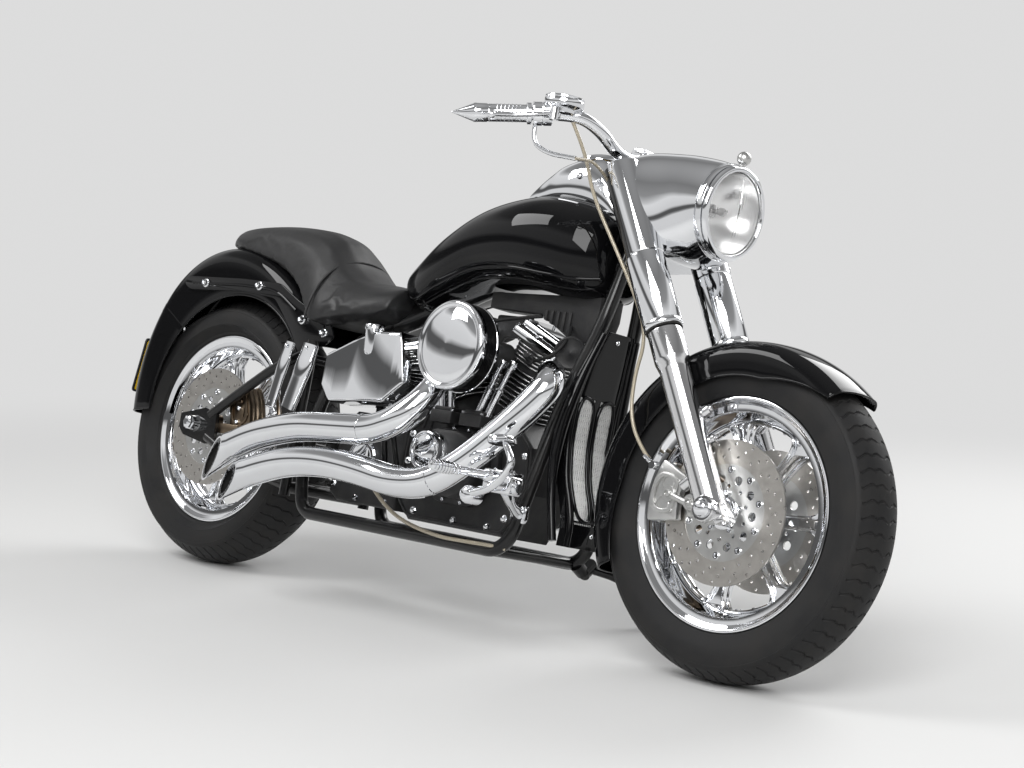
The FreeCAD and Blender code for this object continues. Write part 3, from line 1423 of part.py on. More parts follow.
def make_hoses():
    """Brake hose down the fork and the oil line along the lower frame."""
    hose = tube([along_grip(-58) + V(14, 4, -2), V(1204, -214, 1020), V(1206, -172, 940),
                 V(1254, -138, 850), V(1318, -112, 748), V(1368, -106, 660), V(1353, -106, 570),
                 V(1366, -106, 480), V(1424, -104, 414), V(1452, -102, 398)], 4, 0.45)
    for name in ("nacelle", "fork_covers", "fork_sliders", "front_calipers", "handlebar",
                 "hand_controls"):
        hose = largest(hose.cut(PIECES[name].Shape))
    shaped("brake_hose", hose)
    line = tube([V(700, -150, 250), V(728, -146, 226), V(800, -146, 194), V(916, -144, 176),
                 V(1010, -146, 178), V(1080, -143, 180), V(1108, -128, 178)], 4.5, 0.45)
    shaped("oil_line", largest(line.cut(PIECES["frame"].Shape)))


def make_all():
    make_wheels()
    doc.recompute()
    make_fork()
    make_handlebar()
    make_nacelle()
    make_lamp()
    make_grips()
    make_hand_controls()
    make_front_fender()
    make_rear_fender()
    make_frame()
    make_swingarm()
    make_rear_axle()
    make_struts()
    doc.recompute()
    make_tank()
    make_dash()
    make_seat()
    make_engine()
    make_oil_tank()
    make_covers_right()
    make_air_cleaner()
    doc.recompute()
    make_intake()
    make_left_covers()
    make_exhausts()
    make_spoiler()
    make_right_controls()
    make_left_controls()
    make_rear_brake()
    make_tail()
    make_side_panels()
    make_belt()
    make_stand()
    make_stand_lug()
    make_hoses()


def park():
    """Lean every piece on the stand, and set the origin under the middle of the machine."""
    lean = FreeCAD.Placement(V(0, 0, 0), FreeCAD.Rotation(AHEAD, -float(S["park_angle"])))
    for piece in PIECES.values():
        piece.Placement = lean.multiply(piece.Placement)
    doc.recompute()
    box = FreeCAD.BoundBox()
    for piece in PIECES.values():
        box.add(exact_box(piece.Shape))
    shift = FreeCAD.Placement(V(-(box.XMin + box.XMax) / 2, -(box.YMin + box.YMax) / 2,
                                -box.ZMin), FreeCAD.Rotation())
    for piece in PIECES.values():
        piece.Placement = shift.multiply(piece.Placement)
    doc.recompute()
    return shift.multiply(lean)


def exact_box(shape):
    return shape.optimalBoundingBox(True, False)


def check_and_write():
    faults = [item.Label for item in doc.Objects if {"Invalid", "Error"} & set(item.State)]
    for label, piece in PIECES.items():
        if piece.Shape.isNull() or not piece.Shape.isValid():
            faults.append(label)
    if faults:
        raise RuntimeError("these objects failed: " + ", ".join(sorted(set(faults))))
    os.makedirs("parts", exist_ok=True)
    for label, piece in PIECES.items():
        piece.Shape.exportStep(os.path.join("parts", label + ".step"))


make_all()
doc.recompute()
PARKED = park()
check_and_write()
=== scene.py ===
import json
from math import asin, atan2, cos, pi, radians, sin, sqrt

import bmesh
import bpy
import numpy as np
from mathutils import Matrix, Vector


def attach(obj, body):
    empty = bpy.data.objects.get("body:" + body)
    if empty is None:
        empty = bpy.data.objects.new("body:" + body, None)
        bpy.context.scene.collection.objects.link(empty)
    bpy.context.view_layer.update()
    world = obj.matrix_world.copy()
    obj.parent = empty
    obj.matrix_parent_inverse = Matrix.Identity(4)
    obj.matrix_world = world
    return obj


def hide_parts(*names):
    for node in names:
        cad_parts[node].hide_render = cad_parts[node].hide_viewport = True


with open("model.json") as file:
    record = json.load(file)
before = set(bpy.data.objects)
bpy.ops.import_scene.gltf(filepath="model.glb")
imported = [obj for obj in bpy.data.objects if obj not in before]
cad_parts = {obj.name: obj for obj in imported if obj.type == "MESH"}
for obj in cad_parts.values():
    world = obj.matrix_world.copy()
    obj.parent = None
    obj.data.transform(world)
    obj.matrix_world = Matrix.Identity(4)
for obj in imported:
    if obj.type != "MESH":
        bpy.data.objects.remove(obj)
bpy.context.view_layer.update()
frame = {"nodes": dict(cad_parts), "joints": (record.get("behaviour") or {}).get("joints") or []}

# Chopper motorcycle on its side stand. Pieces are drawn in millimetres on the upright
# machine, X ahead of the rear axle, Y to the left, Z above the ground line. The matrix
# MACHINE takes them to the leaning machine's place in metres.

# The machine's own frame

WHEEL_BASE = 1620
AXLE_HEIGHT = 332
RAKE = radians(30.5)
STEM_SETBACK = 50
LEG_SPREAD = 115


def joint(name):
    return next(item for item in frame["joints"] if item["name"] == name)


def machine_matrix():
    """Place of the upright machine's millimetres in the row frame, from the rear wheel's joint."""
    spin = joint("rear_wheel_spin")
    ahead, left = Vector((1, 0, 0)), Vector(spin["axis"]).normalized()
    up = ahead.cross(left)
    turn = Matrix((ahead, left, up)).transposed().to_4x4()
    base = Vector(spin["pos_m"]) - up * AXLE_HEIGHT * 0.001
    return Matrix.Translation(base) @ turn @ Matrix.Scale(0.001, 4)


MACHINE = machine_matrix()
FRONT_AXLE = Vector((WHEEL_BASE, 0, AXLE_HEIGHT))
REAR_AXLE = Vector((0, 0, AXLE_HEIGHT))
FORK_UP = Vector((-sin(RAKE), 0, cos(RAKE)))
FORK_AHEAD = Vector((cos(RAKE), 0, sin(RAKE)))
LEFT = Vector((0, 1, 0))
RIGHT = -LEFT
UP = Vector((0, 0, 1))
AHEAD = Vector((1, 0, 0))


def on_leg(reach, ahead=0, side=0):
    """Point on the fork: so far up from the axle, ahead of the legs and to the left."""
    return FRONT_AXLE + FORK_UP * reach + FORK_AHEAD * ahead + LEFT * side


# Camera

LENS = 75.27
CAMERA_FROM_REAR_AXLE = Vector((4.2096, -3.3625, 0.6839))
CAMERA_TURN, CAMERA_PITCH, CAMERA_ROLL = radians(44.03), radians(5.82), radians(1.6)


def make_camera():
    """The view from the front right, a little above the axles."""
    data = bpy.data.cameras.new("view")
    data.lens = LENS
    data.sensor_width = 36
    camera = bpy.data.objects.new("view", data)
    back = Vector((sin(CAMERA_TURN) * cos(CAMERA_PITCH), -cos(CAMERA_TURN) * cos(CAMERA_PITCH),
                   sin(CAMERA_PITCH)))
    side = UP.cross(back).normalized()
    rise = back.cross(side)
    side, rise = (side * cos(CAMERA_ROLL) + rise * sin(CAMERA_ROLL),
                  rise * cos(CAMERA_ROLL) - side * sin(CAMERA_ROLL))
    turn = Matrix((side, rise, back)).transposed().to_4x4()
    place = Vector(joint("rear_wheel_spin")["pos_m"]) + CAMERA_FROM_REAR_AXLE
    camera.matrix_world = Matrix.Translation(place) @ turn
    bpy.context.scene.collection.objects.link(camera)
    bpy.context.scene.camera = camera


# Shapes, as points and faces in millimetres

WELD_REACH = 0.01


class Shape:
    """Points and faces that can be placed, mirrored and added together."""

    def __init__(self, points=(), faces=()):
        self.points = np.array([tuple(p) for p in points], float).reshape(-1, 3)
        self.faces = [tuple(face) for face in faces]

    def __add__(self, other):
        return total([self, other])

    def moved(self, matrix):
        result = Shape()
        turn = np.array(matrix)
        result.points = self.points @ turn[:3, :3].T + turn[:3, 3]
        flip = np.linalg.det(turn[:3, :3]) < 0
        result.faces = [tuple(reversed(face)) for face in self.faces] if flip else self.faces
        return result

    def mirrored(self):
        return self.moved(Matrix.Diagonal((1, -1, 1, 1)))

    def both_sides(self):
        return self + self.mirrored()


def total(shapes):
    """One shape out of several."""
    result = Shape()
    points, faces, step = [], [], 0
    for shape in shapes:
        points.append(shape.points)
        faces += [tuple(i + step for i in face) for face in shape.faces]
        step += len(shape.points)
    result.points = np.vstack(points)
    result.faces = faces
    return result


def copies(shape, places):
    return total([shape.moved(place) for place in places])


def by(x, y, z):
    """Matrix that moves a shape by so much."""
    return Matrix.Translation((x, y, z))


def stood(at, axis, ahead=None):
    """Matrix that puts a shape's origin at a point and its Z along an axis."""
    axis = Vector(axis).normalized()
    hint = Vector(ahead) if ahead is not None else (AHEAD if abs(axis.x) < 0.9 else UP)
    first = (hint - axis * hint.dot(axis)).normalized()
    second = axis.cross(first)
    return Matrix.Translation(Vector(at)) @ Matrix((first, second, axis)).transposed().to_4x4()


def polar(radius, turn, centre=(0, 0)):
    return centre[0] + radius * cos(turn), centre[1] + radius * sin(turn)


def turns(count, shift=0.0):
    """Angles of evenly spaced places round a circle; the shift is a share of one step."""
    return [2 * pi * (i + shift) / count for i in range(count)]


def spread(start, end, steps):
    return [start + (end - start) * i / steps for i in range(steps + 1)]


def strip_faces(wide, count, closed, left_out=()):
    """Faces between neighbouring open rows, with the last joined to the first or not."""
    strips = [k for k in range(wide - 1) if k not in left_out]
    faces = []
    for i in range(count if closed else count - 1):
        a, b = i * wide, ((i + 1) % count) * wide
        faces += [(a + k, b + k, b + k + 1, a + k + 1) for k in strips]
    return faces


def lathe(profile, segments, start=0.0, end=2 * pi):
    """Surface turned about Z from (radius, height) points."""
    full = abs(end - start - 2 * pi) < 1e-6
    angles = spread(start, end, segments)[:segments if full else segments + 1]
    count = len(angles)
    points = [(*polar(r, a), h) for a in angles for r, h in profile]
    on_axis = [k for k in range(len(profile) - 1) if profile[k][0] == profile[k + 1][0] == 0]
    return Shape(points, strip_faces(len(profile), count, full, on_axis))


def rounded(corners, radius, steps, closed=False):
    """Corners joined by short arcs, in any number of dimensions."""
    corners = [np.array(c, float) for c in corners]
    count = len(corners)
    result = []
    for i, corner in enumerate(corners):
        if not closed and i in (0, count - 1):
            result.append(corner)
            continue
        back, on = corners[i - 1] - corner, corners[(i + 1) % count] - corner
        reach = min(radius, 0.49 * np.linalg.norm(back), 0.49 * np.linalg.norm(on))
        entry = corner + back / np.linalg.norm(back) * reach
        leave = corner + on / np.linalg.norm(on) * reach
        for k in range(steps + 1):
            t = k / steps
            result.append(entry * (1 - t) ** 2 + corner * 2 * t * (1 - t) + leave * t ** 2)
    return [tuple(p) for p in result]


def smooth_line(points, per_span):
    """Points on a smooth curve through the given ones."""
    points = [np.array(p, float) for p in points]
    ends = [2 * points[0] - points[1]], [2 * points[-1] - points[-2]]
    line = ends[0] + points + ends[1]
    result = []
    for p0, p1, p2, p3 in zip(line, line[1:], line[2:], line[3:]):
        for k in range(per_span):
            t = k / per_span
            result.append(0.5 * (2 * p1 + (p2 - p0) * t + (2 * p0 - 5 * p1 + 4 * p2 - p3) * t ** 2
                                 + (3 * p1 - p0 - 3 * p2 + p3) * t ** 3))
    return [tuple(p) for p in result + [points[-1]]]


def span_faces(wide, count, closed):
    """Faces between neighbouring rings of so many points, with the last joined to the first or not."""
    faces = []
    for i in range(count if closed else count - 1):
        a, b = i * wide, ((i + 1) % count) * wide
        faces += [(a + k, a + (k + 1) % wide, b + (k + 1) % wide, b + k) for k in range(wide)]
    return faces


def end_faces(wide, count):
    """Flat faces over the first and the last ring."""
    return [tuple(reversed(range(wide))), tuple(range((count - 1) * wide, count * wide))]


def tube(points, radius, sides, closed=False, capped=True, squash=(1.0, 1.0), up=None):
    """Round bar along points; radius is a number or one for each point."""
    points = [Vector(p) for p in points]
    count = len(points)
    radii = [radius] * count if isinstance(radius, (int, float)) else list(radius)
    tangents = []
    for i in range(count):
        if closed:
            way = points[(i + 1) % count] - points[i - 1]
        else:
            way = points[min(i + 1, count - 1)] - points[max(i - 1, 0)]
        tangents.append(way.normalized())
    start = Vector(up) if up is not None else (UP if abs(tangents[0].z) < 0.9 else AHEAD)
    normal = (start - tangents[0] * start.dot(tangents[0])).normalized()
    rings = []
    for i in range(count):
        normal = (normal - tangents[i] * normal.dot(tangents[i])).normalized()
        across = tangents[i].cross(normal)
        for turn in turns(sides):
            rings.append(points[i] + normal * cos(turn) * radii[i] * squash[0]
                         + across * sin(turn) * radii[i] * squash[1])
    faces = span_faces(sides, count, closed)
    if capped and not closed:
        faces += end_faces(sides, count)
    return Shape(rings, faces)


def lofted(rings, closed_ends=True):
    """Skin over rings of the same number of points."""
    wide, count = len(rings[0]), len(rings)
    faces = span_faces(wide, count, closed=False)
    if closed_ends:
        faces += end_faces(wide, count)
    return Shape([p for ring in rings for p in ring], faces)


def sheet(rows):
    """Open skin over rows of points."""
    wide = len(rows[0])
    faces = []
    for i in range(len(rows) - 1):
        for k in range(wide - 1):
            a = i * wide + k
            faces.append((a, a + 1, a + wide + 1, a + wide))
    return Shape([p for row in rows for p in row], faces)


def thickened(shape, depth, bevel=0.0):
    """A sheet given a wall, with its rims rounded."""
    mesh = bpy.data.meshes.new("sheet")
    mesh.from_pydata([tuple(p) for p in shape.points], [], shape.faces)
    holder = bpy.data.objects.new("sheet", mesh)
    bpy.context.scene.collection.objects.link(holder)
    wall = holder.modifiers.new("wall", "SOLIDIFY")
    wall.thickness = depth
    wall.offset = 0
    if bevel:
        soft = holder.modifiers.new("soft", "BEVEL")
        soft.width = bevel
        soft.segments = 2
        soft.angle_limit = radians(50)
    return applied(holder)


def applied(holder):
    """The mesh of a helper object with its modifiers, as a shape; the helper goes away."""
    graph = bpy.context.evaluated_depsgraph_get()
    mesh = bpy.data.meshes.new_from_object(holder.evaluated_get(graph))
    shape = Shape([v.co[:] for v in mesh.vertices], [tuple(p.vertices) for p in mesh.polygons])
    data = holder.data
    bpy.data.objects.remove(holder)
    (bpy.data.meshes if isinstance(data, bpy.types.Mesh) else bpy.data.curves).remove(data)
    bpy.data.meshes.remove(mesh)
    return shape


def cut_plate(loops, depth, bevel=0.0):
    """Flat plate about z = 0 with the outer loop and holes given as (x, y) loops."""
    curve = bpy.data.curves.new("plate", "CURVE")
    curve.dimensions = "2D"
    curve.fill_mode = "BOTH"
    curve.extrude = depth / 2 - bevel
    curve.bevel_depth = bevel
    curve.bevel_resolution = 1
    curve.offset = -bevel
    for loop in loops:
        spline = curve.splines.new("POLY")
        spline.points.add(len(loop) - 1)
        for point, place in zip(spline.points, loop):
            point.co = (place[0], place[1], 0, 1)
        spline.use_cyclic_u = True
    holder = bpy.data.objects.new("plate", curve)
    bpy.context.scene.collection.objects.link(holder)
    return welded(applied(holder))


def taken(mesh):
    """The shape of a working mesh, which is let go."""
    mesh.verts.index_update()
    result = Shape([v.co[:] for v in mesh.verts],
                   [tuple(v.index for v in f.verts) for f in mesh.faces])
    mesh.free()
    return result


def welded(shape):
    """Shape with the points that meet joined into one."""
    mesh = bmesh.new()
    for point in shape.points:
        mesh.verts.new(point)
    mesh.verts.ensure_lookup_table()
    for face in shape.faces:
        try:
            mesh.faces.new([mesh.verts[i] for i in face])
        except ValueError:
            pass
    bmesh.ops.remove_doubles(mesh, verts=mesh.verts, dist=WELD_REACH)
    return taken(mesh)


def ring_loop(radius, count, centre=(0, 0)):
    return [polar(radius, turn, centre) for turn in turns(count)]


def box_loop(half_long, half_wide, radius, steps):
    """Rectangle about the origin with round corners."""
    corners = [(-half_long, -half_wide), (half_long, -half_wide), (half_long, half_wide),
               (-half_long, half_wide)]
    return rounded(corners, radius, steps, closed=True)


def soft_box(size, bevel, steps=2):
    """Box about its centre with its edges rounded."""
    mesh = bmesh.new()
    bmesh.ops.create_cube(mesh, size=1)
    for vert in mesh.verts:
        vert.co = Vector([c * s for c, s in zip(vert.co, size)])
    bmesh.ops.bevel(mesh, geom=mesh.edges[:], offset=bevel, segments=steps, profile=0.5,
                    affect="EDGES")
    return taken(mesh)


def ball(radius, at, rows=16):
    profile = [(radius * sin(turn), -radius * cos(turn)) for turn in spread(0, pi, rows)]
    profile[0], profile[-1] = (0.0, -radius), (0.0, radius)
    return lathe(profile, 2 * rows).moved(by(*at))


def side_view(y):
    """Matrix that turns a flat (x, y) drawing into the side view, at a distance to the left."""
    return Matrix(((1, 0, 0, 0), (0, 0, 1, y), (0, 1, 0, 0), (0, 0, 0, 1)))


def side_plate(outline, y, depth, bevel):
    """Plate drawn in the side view as (x, z) points, its middle at a distance to the left."""
    return cut_plate([outline], depth, bevel).moved(side_view(y))


def hex_bolt(size, tall):
    """Hexagon head on a washer."""
    washer = lathe([(0, 0), (size * 1.25, 0), (size * 1.25, 1), (0, 1)], 16)
    head = lathe([(size, 1), (size, tall), (size * 0.82, tall + 0.8), (0, tall + 0.8)], 6)
    return washer + head


def dome_bolt(size, tall):
    """Round domed cap."""
    profile = [(size * cos(a), tall * sin(a)) for a in (0, 0.3, 0.6, 0.9, 1.2)] + [(0, tall)]
    return lathe([(size, -1)] + profile, 16)


def socket_bolt(size, tall):
    """Cap screw with its hexagon socket."""
    return lathe([(size, 0), (size, tall - 0.6), (size - 0.6, tall), (size * 0.6, tall),
                  (size * 0.55, tall * 0.4), (0, tall * 0.4)], 12)


def bolts(kind, places, axis):
    return copies(kind, [stood(place, axis) for place in places])


# Finishes


def new_material(name):
    """Material with its node tree and main shader."""
    material = bpy.data.materials.new(name)
    material.use_nodes = True
    return material, material.node_tree, material.node_tree.nodes["Principled BSDF"]


def feed(tree, node, inputs):
    """Give a node's inputs their values, or link them where another node's output is given."""
    for name, source in inputs.items():
        if isinstance(source, bpy.types.NodeSocket):
            tree.links.new(source, node.inputs[name])
        else:
            node.inputs[name].default_value = source
    return node


def new_node(tree, kind, inputs, **settings):
    """Shader node with its settings made and its inputs fed."""
    node = tree.nodes.new("ShaderNode" + kind)
    for name, value in settings.items():
        setattr(node, name, value)
    return feed(tree, node, inputs)


def own_place(tree):
    """Place on the object, as the noises below take it."""
    return new_node(tree, "TexCoord", {}).outputs["Object"]


def noise(tree, place, scale, detail):
    return new_node(tree, "TexNoise", {"Vector": place, "Scale": scale, "Detail": detail}).outputs["Fac"]


def remapped(tree, value, low, high, to_low, to_high, **settings):
    inputs = {"Value": value, "From Min": low, "From Max": high, "To Min": to_low, "To Max": to_high}
    return new_node(tree, "MapRange", inputs, **settings).outputs["Result"]


def raised(tree, height, strength, depth, under=None):
    """Direction of a grained surface, laid over another grain's where one is given."""
    inputs = {"Height": height, "Strength": strength, "Distance": depth}
    if under:
        inputs["Normal"] = under
    return new_node(tree, "Bump", inputs).outputs["Normal"]


def make_finish(name, colour, metal, rough, spots, spot_scale, spot_colour=None, rough_change=0.0,
                grains=(), coat=0.0, coat_rough=0.03, coat_index=1.5, gloss=0.5):
    """Metal, paint or rubber with spots, uneven gloss and grains given as (strength, scale)."""
    material, tree, shader = new_material(name)
    place = own_place(tree)
    patches = noise(tree, place, spot_scale, 5)
    feed(tree, shader, {"Base Color": (*colour, 1), "Metallic": metal, "Roughness": rough,
                        "Coat Weight": coat, "Coat Roughness": coat_rough, "Coat IOR": coat_index,
                        "Specular IOR Level": gloss})
    mix = new_node(tree, "Mix", {}, data_type="RGBA")
    feed(tree, mix, {"Factor": remapped(tree, patches, 0.4, 0.75, 0, spots), "A": (*colour, 1),
                     "B": (*(spot_colour or [c * 0.6 for c in colour]), 1)})
    feed(tree, shader, {"Base Color": mix.outputs["Result"]})
    if rough_change:
        low, high = max(rough - rough_change, 0.0), rough + rough_change
        feed(tree, shader, {"Roughness": remapped(tree, patches, 0.3, 0.7, low, high)})
    normal = None
    for strength, scale in grains:
        normal = raised(tree, noise(tree, place, scale, 3), strength, 0.001, normal)
    if normal:
        feed(tree, shader, {"Normal": normal})
    return material


def make_glass(name):
    """Clear glass with faint waves."""
    material, tree, shader = new_material(name)
    waves = new_node(tree, "TexNoise", {"Scale": 30}).outputs["Fac"]
    ripple = new_node(tree, "Bump", {"Height": waves, "Strength": 0.05}).outputs["Normal"]
    feed(tree, shader, {"Base Color": (1, 1, 1, 1), "Transmission Weight": 1.0, "Roughness": 0.02,
                        "IOR": 1.45, "Normal": ripple})
    return material


def make_leather(name, colour):
    """Leather: fine pebbled cells under a broad soft crumple."""
    material, tree, shader = new_material(name)
    place = own_place(tree)
    cells = new_node(tree, "TexVoronoi", {"Vector": place, "Scale": 420}).outputs["Distance"]
    pebbles = raised(tree, cells, 0.32, 0.0006)
    crumple = raised(tree, noise(tree, place, 34, 6), 0.25, 0.003, pebbles)
    wear = remapped(tree, noise(tree, place, 9, 2), 0.35, 0.65, 0.38, 0.56)
    feed(tree, shader, {"Base Color": (*colour, 1), "Roughness": 0.48, "Specular IOR Level": 0.45})
    feed(tree, shader, {"Roughness": wear, "Normal": crumple})
    return material


FINISH_TABLE = {
    # slot, colour, share of metal, roughness, share and scale of the spots, and what else it has
    "chrome": ("chrome", (0.82, 0.83, 0.85), 1.0, 0.04, 0.12, 9,
               {"rough_change": 0.015, "grains": [(0.01, 12)]}),
    "polished": ("polished_alloy", (0.74, 0.74, 0.75), 1.0, 0.13, 0.15, 14,
                 {"rough_change": 0.04, "grains": [(0.02, 160)]}),
    "disc": ("disc_steel", (0.52, 0.5, 0.47), 1.0, 0.34, 0.3, 60,
             {"rough_change": 0.07, "grains": [(0.12, 400)]}),
    "machined": ("disc_steel", (0.56, 0.56, 0.55), 1.0, 0.34, 0.15, 50,
                 {"rough_change": 0.05, "grains": [(0.06, 400)]}),
    "reflector": ("chrome", (0.93, 0.93, 0.93), 1.0, 0.3, 0.1, 20,
                  {"rough_change": 0.03, "grains": [(0.02, 200)]}),
    "wire": ("chrome", (0.8, 0.8, 0.79), 0.7, 0.35, 0.3, 60, {"grains": [(0.05, 500)]}),
    "fin_edge": ("barrel_black", (0.6, 0.6, 0.6), 1.0, 0.24, 0.4, 40, {"grains": [(0.1, 500)]}),
    "bronze": ("bronze", (0.2, 0.155, 0.11), 1.0, 0.3, 0.5, 24,
               {"spot_colour": (0.07, 0.05, 0.035), "grains": [(0.15, 300)]}),
    "paint": ("black_paint", (0.0035, 0.0035, 0.004), 0.0, 0.25, 0.2, 30,
              {"grains": [(0.004, 60)], "coat": 1.0, "coat_rough": 0.012, "coat_index": 1.34,
               "gloss": 0.0}),
    "frame": ("frame_black", (0.006, 0.006, 0.0065), 0.0, 0.3, 0.3, 18,
              {"spot_colour": (0.03, 0.028, 0.025), "grains": [(0.02, 90)], "coat": 0.8,
               "coat_rough": 0.07, "coat_index": 1.42, "gloss": 0.1}),
    "case": ("case_black", (0.016, 0.016, 0.017), 0.2, 0.5, 0.4, 30,
             {"spot_colour": (0.05, 0.048, 0.045), "grains": [(0.5, 420)]}),
    "rubber": ("tyre_rubber", (0.012, 0.012, 0.0125), 0.0, 0.6, 0.5, 16,
               {"spot_colour": (0.028, 0.026, 0.024), "rough_change": 0.08,
                "grains": [(0.25, 700), (0.1, 60)], "gloss": 0.25}),
    "soot": ("case_black", (0.012, 0.011, 0.01), 0.0, 0.8, 0.5, 30, {"grains": [(0.3, 300)]}),
    "plate": ("plate_yellow", (0.78, 0.5, 0.02), 0.0, 0.35, 0.15, 20,
              {"grains": [(0.05, 900)], "coat": 0.4}),
    "braid": ("braid", (0.42, 0.37, 0.28), 0.3, 0.35, 0.5, 500, {"grains": [(0.4, 900)], "coat": 0.6}),
    "red": ("red_lens", (0.3, 0.005, 0.005), 0.0, 0.08, 0.3, 200, {"grains": [(0.3, 300)], "coat": 1.0}),
}
SLOTS = {name: row[0] for name, row in FINISH_TABLE.items()}
SLOTS.update(leather="seat_leather", glass="lamp_glass")


def make_finishes():
    made = {name: make_finish(name, *row[1:-1], **row[-1]) for name, row in FINISH_TABLE.items()}
    made["leather"] = make_leather("leather", (0.014, 0.014, 0.0145))
    made["glass"] = make_glass("glass")
    return made


FINISHES = make_finishes()


def add(name, shape, finish, body, replaces=(), sharp=38):
    """Make a piece from a shape: smooth between its sharp edges, on its body, with its finish."""
    shape = shape.moved(MACHINE)
    mesh = bpy.data.meshes.new(name)
    mesh.from_pydata([tuple(p) for p in shape.points], [], shape.faces)
    mesh.validate()
    piece = bpy.data.objects.new(name, mesh)
    bpy.context.scene.collection.objects.link(piece)
    mesh.materials.append(FINISHES[finish])
    soften(mesh, sharp)
    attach(piece, body)
    if replaces:
        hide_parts(*replaces)
    return piece


def soften(mesh, sharp):
    """Shade smooth, with edges past an angle kept sharp."""
    work = bmesh.new()
    work.from_mesh(mesh)
    bmesh.ops.recalc_face_normals(work, faces=work.faces)
    limit = radians(sharp)
    for edge in work.edges:
        edge.smooth = len(edge.link_faces) != 2 or edge.calc_face_angle(0) < limit
    for face in work.faces:
        face.smooth = True
    work.to_mesh(mesh)
    work.free()


# Wheels

TYRE_RADIUS, CROWN_RADIUS = 332, 90
RIM_RADIUS, BEAD_RADIUS = 233, 206
FRONT_HALF, REAR_HALF = 70, 83
FRONT_RIM_HALF, REAR_RIM_HALF = 58, 55
CHEVRONS = 66
GROOVE_DEPTH = 2.6
SPOKES, SPOKE_PHASE = 7, radians(-2.5)
RIM_BOLTS = 28
DISC_RADIUS, CARRIER_RADIUS = 146, 97
FRONT_DISC_SIDE, REAR_DISC_SIDE = 73.8, 81.8
DRILLINGS, BOBBINS, DISC_SCREWS = 20, 10, 5
PULLEY_SIDE, PULLEY_RADIUS, PULLEY_TEETH = 97, 104, 70


def tyre_side(half, rim_half):
    """Half of the tyre's section, from the bead out to the middle of the crown."""
    centre = TYRE_RADIUS - CROWN_RADIUS
    turn = asin(half * 0.8 / CROWN_RADIUS)
    crown = [polar(CROWN_RADIUS, turn * t, (centre, 0))
             for t in (1, 0.88, 0.76, 0.64, 0.52, 0.4, 0.28, 0.16, 0.06)]
    shoulder, lip, bead_side = crown[0][0], RIM_RADIUS + 2, rim_half - 3
    belly = (shoulder + lip) / 2 + 2
    return [(BEAD_RADIUS + 1, bead_side - 9), (RIM_RADIUS - 4, bead_side - 7), (lip, bead_side - 1),
            (lip + 3, bead_side + 4), (lip + 9, bead_side + 6), (belly - 12, half - 2.5),
            (belly, half - 0.6), (belly + 10, half - 0.8), (shoulder - 12, half - 3.6),
            (shoulder - 11, half - 2.8), (shoulder - 7, half - 4.2), (shoulder - 2.5, half - 8.5)] + crown


def tyre_shape(half, rim_half):
    """Tyre whose crown carries rows of chevron grooves cut between lands."""
    side = tyre_side(half, rim_half)
    profile = side + [(TYRE_RADIUS, 0.0)] + [(r, -y) for r, y in reversed(side)]
    steps = (0.0, 0.4, 0.8, 0.86, 0.93)
    points = []
    for period in range(CHEVRONS):
        for step in steps:
            for radius, y in profile:
                share = abs(y) / (half * 0.86)
                bend = sunk = 0.0
                if radius > RIM_RADIUS + 40 and share < 1:
                    bend = 0.62 * abs(abs(share - 0.5) * 2 - 0.35) - 0.25
                    if step > 0.82 and 0.1 < share < 0.97:
                        sunk = GROOVE_DEPTH
                turn = 2 * pi * (period + step + bend) / CHEVRONS
                points.append((*polar(radius - sunk, turn), y))
    return Shape(points, strip_faces(len(profile), CHEVRONS * len(steps), closed=True))


def wheel_place(side, axle=REAR_AXLE):
    """Matrix that lays a wheel's own Z along its axle, so far to the left, keeping X ahead."""
    return stood(axle + LEFT * side, LEFT, AHEAD)


def disc_place(side, axle):
    """Place of a disc, its outer face away from the wheel; the side is negative on the right."""
    place = wheel_place(side, axle)
    return place @ Matrix.Rotation(pi, 4, "X") if side < 0 else place


def window_loop():
    """Window between two spokes in the wheel's own plane."""
    outer, inner, half, step = 189, 66, 11, 2 * pi / SPOKES
    flank = [(inner, half), (outer - 48, half), (outer - 26, half + 2), (outer - 12, half + 8),
             (outer - 3, half + 17)]
    start = atan2(flank[-1][1] + 6, outer)
    arc = [polar(outer, turn) for turn in spread(start, step - start, 8)]
    far_flank = [(x * cos(step) + y * sin(step), x * sin(step) - y * cos(step)) for x, y in reversed(flank)]
    return rounded(flank + arc + far_flank, 9, 3, closed=True)


def turned_loop(loop, turn):
    return [(x * cos(turn) - y * sin(turn), x * sin(turn) + y * cos(turn)) for x, y in loop]


